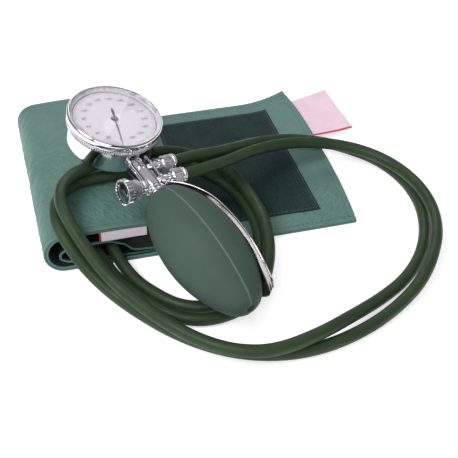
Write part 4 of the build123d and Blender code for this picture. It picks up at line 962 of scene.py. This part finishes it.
def knobRelief(angle, reach, radius):
    # round-bottomed flutes in the flared rim, and a fine criss-cross on the waist
    if radius < 3.2:
        return 0
    if reach < knob["rimFrom"]:
        wave = max(0.0, math.cos(angle * knob["flutes"]))
        fade = min(1, (knob["rimFrom"] - reach) / 0.8)
        return -knob["fluteDepth"] * wave**1.5 * fade if radius > 7.0 else 0
    if -14.6 < reach < -10.2 and radius > 4.5:
        turns, slant = angle * knob["diamonds"], reach * knob["diamondSlant"]
        return -knob["diamondDepth"] * (1 + 0.5 * math.cos(turns + slant) + 0.5 * math.cos(turns - slant))
    return 0


def makeKnob():
    outline = [(-9.5, 3.08), (-9.5, 5.35, 0.25), (-9.9, 5.7, 0.2), (-10.9, 5.62)]
    for step in range(17):
        share = step / 16
        flare = (knob["waistFlare"] - knob["waistRadius"]) * share**1.6
        outline.append((knob["waistFrom"] - knob["waistLength"] * share,
                        knob["waistRadius"] + knob["diamondDepth"] + flare))
    outline += [
        (-15.2, 6.75, 0.2), (-16.0, 7.55, 0.25), (-16.4, 7.8, 0.3), (-19.5, 7.8, 0.2), (-19.8, 7.5, 0.15),
        (-19.5, 7.15, 0.2), (-19.0, 5.8, 0.6), (-18.95, 4.2, 0.6), (-19.3, 2.4, 0.5), (-19.3, 0),
        # the bore behind the dished end, which the needle's head turns in
        (-18.45, 0), (-18.45, 1.36), (-14.1, 1.36), (-14.1, 3.08)]
    piece = turnedPiece("valveKnob", outline, chromePlate, 288, "Y", block["valve"], "release_knob", knobRelief, 45, 3)
    paintFaces(piece, knurlPlate, lambda spot: -15.0 < spot.y < -10.1, unitPlace)
    standFor(piece, "valve_knob")


makeBlock()
makeUnion("rear", hose["rearStation"])
makeUnion("front", hose["frontStation"])
makeNipple()
makeBonnet()
makeKnob()
print("valve block")


# hand guard: a bent strip from the block's side, arched along the bulb
guard = {
    "thickness": 0.9, "steps": 7, "across": 18, "rimSteps": 5, "lip": 0.35, "lipFrom": 60, "lipFade": 10,
    # reach, side offset, half width, half angle of the arch in degrees
    "stations": [
        (28.3, 5.65, 4.0, 0.6), (28.6, 5.65, 4.7, 0.6), (29.4, 5.65, 5.2, 0.6), (40.0, 5.65, 5.2, 0.6),
        (50.5, 5.65, 5.2, 0.8), (54.5, 7.9, 7.2, 10.0), (58.5, 12.4, 9.0, 20.0), (66.0, 17.4, 11.4, 30.0),
        (80.0, 22.5, 14.0, 36.0), (100.0, 24.3, 15.5, 39.0), (120.0, 23.1, 15.0, 40.0), (133.0, 20.8, 11.8, 36.0),
        (140.0, 19.3, 7.6, 26.0), (143.0, 18.5, 3.8, 13.0),
    ],
}


def smoothThrough(rows, steps):
    # Catmull-Rom through rows of numbers
    made = []
    for index in range(len(rows) - 1):
        a, b, c, d = (rows[min(max(index + shift, 0), len(rows) - 1)] for shift in (-1, 0, 1, 2))
        for step in range(steps):
            t = step / steps
            made.append([
                0.5 * (2 * q + (r - p) * t + (2 * p - 5 * q + 4 * r - s) * t * t + (3 * q - p - 3 * r + s) * t**3)
                for p, q, r, s in zip(a, b, c, d)])
    made.append(list(rows[-1]))
    return made


def guardRing(row, outward):
    # one section: the outer face, a half-round edge, the inner face and the other edge
    reach, offset, halfWidth, halfAngle = row
    halfAngle = math.radians(max(halfAngle, 0.5))
    radius = halfWidth / math.sin(halfAngle)
    centre = Vector((reach, offset, 0)) - outward * radius
    deep = guard["thickness"] / 2
    lip = limited((reach - guard["lipFrom"]) / guard["lipFade"]) * guard["lip"]  # rolled along both long edges

    def spot(angle, thick):
        turned = outward * math.cos(angle) + Vector((0, 0, math.sin(angle)))
        return unitPlace @ ((centre + turned * (radius + thick)) * mm)

    ring = []
    for side in (1, -1):
        for step in range(guard["across"] + 1):
            share = side * (2 * step / guard["across"] - 1)
            ring.append(spot(halfAngle * share, side * deep + lip * abs(share) ** 10))
        for step in range(1, guard["rimSteps"]):
            turn = math.pi * step / guard["rimSteps"]
            ring.append(spot(side * (halfAngle + deep * math.sin(turn) / radius), side * deep * math.cos(turn) + lip))
    return ring


def makeGuard():
    rows = smoothThrough(guard["stations"], guard["steps"])
    rings = []
    for index, row in enumerate(rows):
        before, after = rows[max(index - 1, 0)], rows[min(index + 1, len(rows) - 1)]
        heading = Vector((after[0] - before[0], after[1] - before[1], 0)).normalized()
        rings.append(guardRing(row, Vector((-heading.y, heading.x, 0))))
    piece = newPiece("handGuard", sum(rings, []), ringFaces(len(rings), len(rings[0])), bladeSteel, sharp=50)
    standFor(piece, "hand_guard")


makeGuard()
print("hand guard")


# bulb: turned rubber with its two mould seams
bulb = {
    "start": 56.5,
    "outline": [
        (0, 6.2), (1.6, 9.0), (4.8, 12.2), (9.8, 15.2), (16.8, 18.0), (25.8, 20.5), (35.8, 22.0), (44, 22.45),
        (52, 22.2), (61.5, 20.8), (71.5, 18.2), (79.5, 14.9), (86, 11.4), (89.6, 8.4), (91.4, 5.2), (92, 3.2),
    ],
    "inside": [
        (92.0, 2.5), (91.7, 2.2), (90.4, 2.2), (90.4, 4.8), (81.5, 4.8), (81.5, 11.0), (71.5, 15.6), (52, 20.0),
        (35.8, 19.7), (16.8, 15.7), (6.0, 10.4), (2.2, 8.0), (2.2, 4.62), (0, 4.62),
    ],
    # seamShine and shineWidth set the painted highlight along the seams
    "seamAngles": (102, 282), "seamProud": 0.30, "seamWidth": 0.40, "seamShine": 0.75, "shineWidth": 0.5,
    # the spin is finer beside a seam, in degrees from it
    "seamSteps": (-4, -3, -2.2, -1.6, -1.1, -0.7, -0.35, 0, 0.35, 0.7, 1.1, 1.6, 2.2, 3, 4),
}


def makeBulb():
    seams = [math.radians(angle) for angle in bulb["seamAngles"]]
    angles = set(round(angle, 6) for angle in evenAngles(120))
    for line in seams:
        angles = {angle for angle in angles if abs(angle - line) > math.radians(4.2)}
        angles |= {round(line + math.radians(shift), 6) for shift in bulb["seamSteps"]}

    def seam(angle, reach, radius):
        if radius < 5.5 or reach > 91 or reach < 0.2:
            return 0
        away = min(abs(angle - line) for line in seams) * radius
        return bulb["seamProud"] * math.exp(-((away / bulb["seamWidth"]) ** 2))

    piece = turnedPiece("squeezeBulb", smoothThrough(bulb["outline"], 5) + bulb["inside"], bulbRubber, None, "X",
                        bulb["start"], ridge=seam, sharp=40, angles=sorted(angles))
    # a painted highlight along both seams, which the bulb's paint reads
    shine = piece.data.attributes.new("seam", "FLOAT", "POINT")
    back = unitPlace.inverted()
    for vertex, item in zip(piece.data.vertices, shine.data):
        spot = (back @ vertex.co) / mm
        radius = math.hypot(spot.y, spot.z)
        away = min(abs(math.atan2(spot.z, spot.y) % (2 * math.pi) - line) for line in seams) * radius
        item.value = bulb["seamShine"] * math.exp(-((away / bulb["shineWidth"]) ** 2)) if radius > 3 else 0
    standFor(piece, "bulb")


makeBulb()
print("bulb")


# cuff cover: one folded strip of padded cloth
cuff = {
    "width": 150.0, "foldX": -97.0, "height": 30.6, "frontShare": 0.845, "sagPower": 1.2, "thickness": 3.0,
    "topEnd": -21.0, "crown": 0.8, "bendX": 60.0, "reach": 34.5, "bow": 4.8, "restLift": 0.3, "cornerLift": 7.5,
    "columns": 49, "topSteps": 28, "foldSteps": 19, "soleSteps": 49, "flapSteps": 12,
    "simFrames": 18, "swellOut": 0.5, "swellIn": 1.3, "sewnIn": 3.2,
    # the cut edges show two plies with a groove between them: reach beyond the edge, share of half the thickness
    "sideRim": [(0.45, 1.0), (0.8, 0.62), (0.72, 0.25), (0.15, 0.0), (0.72, -0.25), (0.8, -0.62), (0.45, -1.0)],
    "endRim": [(0.45, 0.96), (0.75, 0.66), (0.82, 0.3), (0.4, 0.0)],
}


def cuffShare(y):
    return 1 - (1 - cuff["frontShare"]) * (abs(y) / (cuff["width"] / 2)) ** cuff["sagPower"]


def cornerLift(y):
    return cuff["restLift"] + cuff["cornerLift"] * eased(limited((y + 5) / (cuff["width"] / 2 + 5)))


def flapEnd(y):
    return cuff["reach"] + cuff["bow"] * (1 - (2 * y / cuff["width"]) ** 2)


def soleSpot(x, y, depth):
    # a spot on the lower layer and the flap, where x runs along the cloth, depth above its underside
    if x <= cuff["bendX"]:
        return Vector((x, y, depth))
    lift = cornerLift(y)
    bend = (flapEnd(y) ** 2 + lift**2) / (2 * lift)
    turn = (x - cuff["bendX"]) / bend
    return Vector((cuff["bendX"] + (bend - depth) * math.sin(turn), y, bend - (bend - depth) * math.cos(turn)))


def coverRow(y, depth):
    # from the top layer's free edge back to the fold, round it, and out along the sole to the flap's end
    high, crown = cuff["height"] * cuffShare(y), cuff["crown"]
    radius = high / 2
    foldTop = cuff["foldX"] + radius
    row = []
    for step in range(cuff["topSteps"] + 1):
        t = 1 - step / cuff["topSteps"]
        x = foldTop + (cuff["topEnd"] - foldTop) * t
        z = high * 2 * (t - 0.5) * (t - 1) - (high + crown) * 4 * t * (t - 1) + (high - crown) * 2 * t * (t - 0.5)
        row.append(Vector((x, y, z - depth)))
    for step in range(1, cuff["foldSteps"] + 1):
        turn = math.radians(90 + 180 * step / cuff["foldSteps"])
        row.append(Vector((foldTop + (radius - depth) * math.cos(turn), y, radius + (radius - depth) * math.sin(turn))))
    for step in range(1, cuff["soleSteps"] + 1):
        row.append(Vector((foldTop + (cuff["bendX"] - foldTop) * step / cuff["soleSteps"], y, depth)))
    for step in range(1, cuff["flapSteps"] + 1):
        row.append(soleSpot(cuff["bendX"] + flapEnd(y) * step / cuff["flapSteps"], y, depth))
    return row


def coverGrid():
    half, last = cuff["width"] / 2 - 0.9, cuff["columns"] - 1
    return [coverRow(-half + 2 * half * column / last, cuff["thickness"] / 2) for column in range(last + 1)]


def onSole(spot):
    return spot.z < 4 and spot.x < 62


def simulateCover(grid):
    # the sheet is a touch too large for its frame, so that it settles into soft swells
    columns, stations = len(grid), len(grid[0])
    sheet = linked("coverSheet", newMesh("coverSheet", [spot * mm for row in grid for spot in row], [
        (c * stations + s, c * stations + s + 1, (c + 1) * stations + s + 1, (c + 1) * stations + s)
        for c in range(columns - 1) for s in range(stations - 1)]))
    pins = sheet.vertex_groups.new(name="pins")
    for column, row in enumerate(grid):
        for station, spot in enumerate(row):
            held = min(column, columns - 1 - column, station, stations - 1 - station) < 2
            weight = 1.0 if held else 0.25
            if onSole(spot):
                weight = 1.0 if spot.x < -2 else 0.6
            pins.add([column * stations + station], weight, "REPLACE")
    worker = sheet.modifiers.new("cloth", "CLOTH")
    cloth = worker.settings
    cloth.vertex_group_mass = "pins"
    cloth.quality = 5
    cloth.mass = 0.2
    cloth.tension_stiffness = 12
    cloth.compression_stiffness = 12
    cloth.shear_stiffness = 6
    cloth.bending_stiffness = 0.35
    cloth.shrink_min = -0.018
    cloth.effector_weights.gravity = 0.35
    worker.collision_settings.use_collision = False
    worker.collision_settings.use_self_collision = False
    worker.point_cache.frame_start = 1
    worker.point_cache.frame_end = cuff["simFrames"]
    for tick in range(1, cuff["simFrames"] + 1):
        bpy.context.scene.frame_set(tick)
    settled = sheet.evaluated_get(bpy.context.evaluated_depsgraph_get()).to_mesh()
    made = [[settled.vertices[column * stations + station].co / mm for station in range(stations)]
            for column in range(columns)]
    bpy.context.scene.frame_set(1)
    bpy.data.objects.remove(sheet)
    return made


def settledGrid():
    grid = coverGrid()
    settled = simulateCover(grid)
    for column, row in enumerate(grid):
        for station, spot in enumerate(row):
            outward = gridNormal(grid, column, station)
            shift = (settled[column][station] - spot).dot(outward)
            limit = cuff["swellOut"] if shift > 0 or spot.x > cuff["bendX"] else cuff["swellIn"]
            swell = shift * limit / (abs(shift) + limit)
            if onSole(spot):
                swell = max(swell, 0) * 0.5  # it stays on the table
            settled[column][station] = spot + outward * swell
    return settled


def finerGrid(grid):
    along = [smoothThrough(row, 2) for row in grid]
    turned = [smoothThrough(line, 2) for line in zip(*along)]
    return [[Vector(spot) for spot in line] for line in zip(*turned)]


def seamDip(fromEdge):
    # a sewn line near the edge draws the padding in
    return 1 - 0.30 * math.exp(-(((fromEdge - cuff["sewnIn"]) / 1.1) ** 2))


def coverLoop(grid, lengths, station, beyond, share):
    # one section around the strip: spots, their places on the flat cloth, and how much painted shade they take
    columns, half = len(grid), cuff["thickness"] / 2
    spots = [row[station] for row in grid]
    normals = [gridNormal(grid, column, station) for column in range(columns)]
    tail = Vector((0, 0, 0))
    if beyond:
        inner = grid[columns // 2][station + (1 if station == 0 else -1)]
        tail = (spots[columns // 2] - inner).normalized() * beyond
    flat = lengths[station] + (beyond if station else -beyond)
    endDip = seamDip(min(lengths[station], lengths[-1] - lengths[station]))
    loop = []
    for side in (1, -1):
        for column in range(columns)[::side]:
            spot = spots[column]
            fromSide = min(column, columns - 1 - column) * cuff["width"] / (columns - 1)
            deep = half * share * seamDip(fromSide) * endDip * side
            # the inside faces of the top layer and the fold, and the sole near the fold, take painted shade
            lining = 0
            if side == 1:
                lining = 1 if spot.z > 3.5 and spot.x < 0 else limited((-26 - spot.x) / 10)
            loop.append((spot + tail + normals[column] * deep, (spot.y, flat), lining))
        last = columns - 1 if side == 1 else 0
        spot, normal = spots[last], normals[last] * (half * 0.97 * share * side)
        outward = (spot - spots[abs(last - 1)]).normalized()
        for reach, height in cuff["sideRim"]:
            loop.append((spot + tail + outward * reach + normal * height, (spot.y + outward.y * reach, flat), 0))
    return loop


def coverPucker(x, y, z):
    # the cloth gathers most along the front of the roll, and at the flap's front corner
    if z > 12 and x < -10:
        return 0.15 + 0.85 * limited((38 - y) / 60) * limited((x + 99) / 16) * limited((y + 74) / 6, 0.25)
    if x > 40:
        return 0.1 + 0.75 * limited((-22 - y) / 25) * limited((x - 40) / 15)
    return 0.15


def makeCover():
    grid = finerGrid(settledGrid())
    middle = grid[len(grid) // 2]
    lengths = [0.0]
    for before, after in zip(middle, middle[1:]):
        lengths.append(lengths[-1] + (after - before).length)
    last = len(middle) - 1
    plan = [(0, reach, share) for reach, share in reversed(cuff["endRim"])]
    plan += [(station, 0, 1) for station in range(last + 1)]
    plan += [(last, reach, share) for reach, share in cuff["endRim"]]
    loops = [coverLoop(grid, lengths, *section) for section in plan]
    spots, flats, linings = zip(*sum(loops, []))
    # the end sections are closed slits, which need no caps
    faces = ringFaces(len(loops), len(loops[0]))[:-2]
    piece = clothPiece(
        "cuffCover", [spot * mm for spot in spots], faces, [(x * mm, y * mm) for x, y in flats], cuffCloth, 55,
        pucker=[coverPucker(*spot) for spot in spots], lining=linings)
    standFor(piece, "cuff_cover")
    return piece, grid, lengths


coverPiece, coverRows, coverLengths = makeCover()
coverTree = BVHTree.FromPolygons(
    [vertex.co.copy() for vertex in coverPiece.data.vertices],
    [tuple(face.vertices) for face in coverPiece.data.polygons])
print("cuff cover", len(coverPiece.data.polygons), "faces")


def layOn(x, y, above=0.0):
    # drops a spot of the lower layer onto the settled cloth
    guess = soleSpot(x, y, cuff["thickness"]) * mm
    hit, normal, _, _ = coverTree.ray_cast(guess + Vector((0, 0, 0.006)), Vector((0, 0, -1)), 0.02)
    if hit is None:
        hit, normal = guess, Vector((0, 0, 1))
    if normal.z < 0:
        normal = -normal
    return hit + normal * above * mm, normal


# hook patch with its rows of hooks and its sewn border
patch = {
    "startX": -3.0, "length": 80.0, "width": 120.0, "centreY": 1.0, "thickness": 0.9, "rows": 54, "columns": 81,
    "hookRow": 1.9, "hookPitch": 0.95, "hookHeight": 0.8, "hookThick": 0.17, "hookInset": 3.2, "hookLean": 0.28,
    # a hook's bend: how far over and how high, as shares
    "hookBend": [(0, 0), (0.02, 0.45), (0.22, 0.85), (0.52, 1.0), (0.78, 0.86), (0.84, 0.62)],
    "stitchPitch": 2.6, "stitchLength": 1.9, "stitchInset": 1.5,
}


def patchBox(inset):
    startY = patch["centreY"] - patch["width"] / 2
    return (patch["startX"] + inset, startY + inset,
            patch["startX"] + patch["length"] - inset, startY + patch["width"] - inset)


def makePatch():
    rows, columns = patch["rows"], patch["columns"]
    lowX, lowY, _, _ = patchBox(0)
    points, flats = [], []
    for layer in range(2):
        for row in range(rows):
            for column in range(columns):
                x = lowX + patch["length"] * row / (rows - 1)
                y = lowY + patch["width"] * column / (columns - 1)
                rim = row in (0, rows - 1) or column in (0, columns - 1)
                above = 0.02 if layer else patch["thickness"] * (0.82 if rim else 1)
                points.append(layOn(x, y, above)[0])
                flats.append((x * mm, y * mm))
    piece = clothPiece("hookPatch", points, sheetFaces(rows, columns), flats, patchCloth, 50, 0,
                       pucker=[0.35] * len(points))
    standFor(piece, "hook_patch")
    return piece


def hookShape():
    high, thick = patch["hookHeight"] * mm, patch["hookThick"] * mm
    points = []
    for over, rise in patch["hookBend"]:
        for turn in (math.radians(angle) for angle in (90, 210, 330)):
            points.append((over * high * 0.7 + thick * math.cos(turn) * 0.6, thick * math.sin(turn), rise * high))
    return points, ringFaces(len(patch["hookBend"]), 3)


def makeHooks():
    # one hook on each spot of a grid, whose every second row is shifted by half a pitch
    lowX, lowY, highX, highY = patchBox(patch["hookInset"])
    rows, columns = int((highX - lowX) / patch["hookRow"]) + 1, int((highY - lowY) / patch["hookPitch"]) + 1
    spots = []
    for row in range(rows):
        for column in range(columns):
            y = lowY + (column + 0.5 * (row % 2)) * patch["hookPitch"]
            spots.append(layOn(lowX + row * patch["hookRow"], min(y, highY), patch["thickness"] - 0.05)[0])
    quads = [(a, a + columns, a + columns + 1, a + 1)
             for row in range(rows - 1) for a in range(row * columns, row * columns + columns - 1)]
    mesh = runTree("hookField", fieldTree, newMesh("hookGuide", spots, quads), *hookShape(), hookNylon,
                   Lean=patch["hookLean"], Seed=11)
    field = adopt("hookField", mesh, hookNylon, sharp=70)
    return field


def stitchShape(length, thick):
    # a short thread that rises out of the cloth and dips at both ends
    points = []
    for share, rise in ((-0.5, -0.7), (-0.38, 0.3), (0, 0.75), (0.38, 0.3), (0.5, -0.7)):
        for turn in (math.radians(angle) for angle in (45, 135, 225, 315)):
            points.append((share * length, thick * math.cos(turn), thick * (rise + math.sin(turn))))
    return points, ringFaces(5, 4)


def stitchesOn(name, line, pitch, length, closed=False, thick=0.16):
    # the line is a list of spots and the normals of the cloth there
    count = len(line)
    edges = [(index, (index + 1) % count) for index in range(count if closed else count - 1)]
    guide = newMesh(name + "Guide", [spot for spot, normal in line], [], edges)
    facing = guide.attributes.new("facing", "FLOAT_VECTOR", "POINT")
    for item, (spot, normal) in zip(facing.data, line):
        item.vector = normal
    return runTree(name, pathTree, guide, *stitchShape(length * mm, thick * mm), threadPaint, Pitch=pitch * mm)


def sewPatch():
    lowX, lowY, highX, highY = patchBox(patch["stitchInset"])
    corners = [(lowX, lowY), (highX, lowY), (highX, highY), (lowX, highY)]
    line = []
    for (x0, y0), (x1, y1) in zip(corners, corners[1:] + corners[:1]):
        count = int(max(abs(x1 - x0), abs(y1 - y0)) / 2)
        line += [layOn(x0 + (x1 - x0) * step / count, y0 + (y1 - y0) * step / count, patch["thickness"] + 0.02)
                 for step in range(count)]
    mesh = stitchesOn("patchStitches", line, patch["stitchPitch"], patch["stitchLength"], True)
    adopt("patchStitches", mesh, threadPaint, sharp=60)


def sewCover():
    # inside the strip's long edges and across both its ends, on both faces
    columns, stations = len(coverRows), len(coverRows[0])
    edge = round(cuff["sewnIn"] / (cuff["width"] / (columns - 1)))
    end = round(cuff["sewnIn"] / (coverLengths[-1] / (stations - 1)))
    routes = [[(column, station) for station in range(3, stations - 2)] for column in (edge, columns - 1 - edge)]
    routes += [[(column, station) for column in range(3, columns - 2)] for station in (end, stations - 1 - end)]
    made = []
    for route in routes:
        for side in (1, -1):
            line = []
            for column, station in route:
                normal = gridNormal(coverRows, column, station) * side
                line.append(((coverRows[column][station] + normal * (cuff["thickness"] / 2 * 0.71)) * mm, normal))
            made.append(stitchesOn("coverStitches" + str(len(made)), line, 3.0, 2.2))
    piece = adopt("coverStitches", joined("coverStitches", made), threadPaint, sharp=60)
    return piece


patchPiece = makePatch()
hookField = makeHooks()
sewPatch()
coverStitches = sewCover()
print("patch and stitches")


# inner pocket, bladder and its ports
pocket = {
    "startX": -88.0, "endX": -28.0, "width": 146.0, "low": 3.0, "height": 15.0, "endShare": 0.86, "wall": 1.2,
    "lipReach": 11.0, "lipSwing": 0.8, "lipHeight": 2.6, "archEnd": -43.0, "archSlope": 12.0, "rows": 49,
    "piping": 1.3, "around": 56,
}


def pillowRing(y, low, top, startX, endX):
    # a squared-off oval
    ring = []
    for angle in evenAngles(pocket["around"]):
        c, s = math.cos(angle), math.sin(angle)
        x = math.copysign(abs(c) ** 0.55, c) * (endX - startX) / 2
        z = math.copysign(abs(s) ** 0.8, s) * (top - low) / 2
        ring.append(Vector(((startX + endX) / 2 + x, y, (low + top) / 2 + z)))
    return ring


def pocketSpot(place, y, top):
    # near its open front the pocket's upper layer arches over the hoses and lies flat beside them
    low, reach = pocket["low"], pocket["lipReach"]
    opened = eased(limited((reach - (y + pocket["width"] / 2)) / reach))
    share = limited((pocket["archEnd"] - place.x) / pocket["archSlope"])
    arch = eased(share)
    level = (place.z - low) / (top - low)
    squashed = low + level * ((top - low) * arch + pocket["lipHeight"] * (1 - arch))
    swing = pocket["lipSwing"] * opened * math.sin(math.pi * share) * level
    ripple = noise.noise(place * 0.09) * 0.4 if level > 0.4 else 0
    return Vector((place.x, y + swing, place.z + (squashed - place.z) * opened + ripple))


def makePocket():
    half, low, last = pocket["width"] / 2, pocket["low"], pocket["rows"] - 1
    rows = [-half + 2 * half * (step / last) ** 1.25 for step in range(last + 1)]
    points, flats = [], []
    for inset, order in ((0.0, rows), (pocket["wall"], rows[::-1])):
        for y in order:
            full = pocket["endShare"] + (1 - pocket["endShare"]) * (1 - (y / half) ** 2)
            top = low + pocket["height"] * full
            ring = pillowRing(y, low + inset, top - inset, pocket["startX"] + inset, pocket["endX"] - inset)
            for index, place in enumerate(ring):
                spot = pocketSpot(place, y, top)
                points.append(spot * mm)
                flats.append((spot.y * mm, index / len(ring) * 0.15))
    piece = clothPiece("innerPocket", points, ringFaces(2 * len(rows), pocket["around"], True), flats, pocketShadeCloth, 60,
                       pucker=[0.6] * len(points))
    # the front rim keeps the cover's own cloth; the rest of the pocket is painted shade
    paintFaces(piece, cuffCloth, lambda spot: spot.y < pocket["piping"] - half)
    standFor(piece, "cuff_pocket")


bladder = {
    "startX": -82.8, "endX": -33.2, "width": 126.0, "low": 4.5, "height": 9.5, "rows": 41,
    "portRadius": 3.0, "portBore": 1.6, "portInside": 2.5,
}


def makeBladder():
    half, deep, last = bladder["width"] / 2, bladder["height"] / 2, bladder["rows"] - 1
    middle = bladder["low"] + deep
    points = []
    for step in range(last + 1):
        y = -half + 2 * half * step / last
        share = abs(y) / half
        swell = max(math.sqrt(max(0.0, 1 - share**8)) * (0.9 + 0.1 * (1 - share * share)), 0.12)
        for place in pillowRing(y, middle - deep * swell, middle + deep * swell, bladder["startX"], bladder["endX"]):
            place.z += noise.noise(place * 0.07 + Vector((3, 1, 7))) * 0.35 * swell
            points.append(place * mm)
    piece = newPiece("airBladder", points, ringFaces(bladder["rows"], pocket["around"]), bladderRubber, sharp=50)
    standFor(piece, "bladder")


def portMesh(points):
    # a short tube that carries on from a hose's end into the bladder
    end, before = Vector(points[-1]), Vector(points[-2])
    along = (end - before).normalized()
    inside = end + along * ((bladder["portInside"] - bladder["width"] / 2 - end.y) / along.y)
    side = along.orthogonal().normalized()
    up = along.cross(side)
    spots = []
    for centre, radius in ((end, "portRadius"), (inside, "portRadius"), (inside, "portBore"), (end, "portBore")):
        for angle in evenAngles(32):
            spots.append((centre + (side * math.cos(angle) + up * math.sin(angle)) * bladder[radius]) * mm)
    return cleaned(newMesh("port", spots, ringFaces(4, 32, True)))


def makePorts():
    mesh = joined("bladderPorts", [portMesh(hoseRearPoints), portMesh(hoseFrontPoints)])
    standFor(adopt("bladderPorts", mesh, bladderRubber, sharp=40), "bladder_ports")


makePocket()
makeBladder()
makePorts()
print("pocket and bladder")


# sewn tags
tags = {
    "outer": [(96.8, 20.0, 4.4), (94.6, 62.0, 7.6), (123.5, 69.4, 9.0), (127.3, 20.3, 6.0)],
    "outerRows": 31, "outerColumns": 23, "sag": 0.6, "thickness": 0.4,
    "innerWidth": 28.0, "innerDrop": 6.1, "innerGap": 0.62, "innerThickness": 0.3, "innerRows": 29, "innerSewn": 1.8,
}


def outerTagSpot(row, column):
    nearLow, nearHigh, farHigh, farLow = (Vector(corner) for corner in tags["outer"])
    u, v = row / (tags["outerRows"] - 1), column / (tags["outerColumns"] - 1)
    place = nearLow.lerp(nearHigh, u).lerp(farLow.lerp(farHigh, u), v)
    place.z += 0.3 - tags["sag"] * math.sin(math.pi * v) + 0.35 * math.sin(2.3 * math.pi * u + 0.6) * v
    place.z += 0.25 * noise.noise(place * 0.12)
    return place, (u * 0.042, v * 0.030)


def makeOuterTag():
    piece = closedSheet("outerTag", tags["outerRows"], tags["outerColumns"], outerTagSpot, tags["thickness"], tagSatin)
    standFor(piece, "outer_tag")


def makeInnerTag():
    # a ribbon folded double, sewn in by both ends
    low, high = (Vector(corner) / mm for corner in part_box("inner_tag"))
    half, drop, width = tags["innerGap"] / 2, tags["innerDrop"], tags["innerWidth"]
    path = [(0, -drop * step / 8) for step in range(9)]
    for step in range(1, 6):
        turn = math.pi * step / 6
        path.append((half - half * math.cos(turn), -drop - half * math.sin(turn)))
    path += [(2 * half, -drop + drop * step / 8) for step in range(9)]

    def spotAt(row, column):
        u = row / (tags["innerRows"] - 1)
        back, fall = path[column]
        wave = 0.22 * math.sin(5 * u + 0.5) * (fall / drop)
        place = Vector((low.x + width * u, low.y + 0.05 + back + wave, high.z + fall * (1 + 0.05 * u)))
        return place, (0.0 if u * width < tags["innerSewn"] else 0.009, u * 0.028 + fall * 0.0001)

    piece = closedSheet("innerTag", tags["innerRows"], len(path), spotAt, tags["innerThickness"], innerSatinPaintedLight)
    standFor(piece, "inner_tag")


makeOuterTag()
makeInnerTag()
print("tags")


# nodes that stay as they are get their finish
nodePaints = {
    "case_screws": screwSteel, "glass_gasket": gasketPaint, "dial_plate": dialPaint,
    "movement_base_plate": brassPaint, "movement_top_plate": brassPaint, "movement_posts": brassPaint,
    "plate_pillars": brassPaint, "sector_gear": brassPaint, "sector_pin": screwSteel, "sector_arbor": screwSteel,
    "pinion_arbor": screwSteel, "hairspring": bronzePaint, "hairspring_collet": brassPaint,
    "hairspring_stud": brassPaint, "rocking_shaft": screwSteel, "capsule_lower": bronzePaint,
    "capsule_upper": bronzePaint, "capsule_stud": brassPaint, "capsule_button": brassPaint,
    "capsule_feed": bronzePaint, "valve_seat": brassPaint, "valve_needle": screwSteel,
    "outlet_check_disc": discRubber, "inlet_valve_seat": screwSteel, "inlet_filter": screwSteel,
    "inlet_ball": screwSteel,
}
for nodeName, paint in nodePaints.items():
    node = cadNodes[nodeName]
    if not node.material_slots:
        node.data.materials.append(paint)
    for slot in node.material_slots:
        slot.material = paint
print("finishes on", len(nodePaints), "nodes")
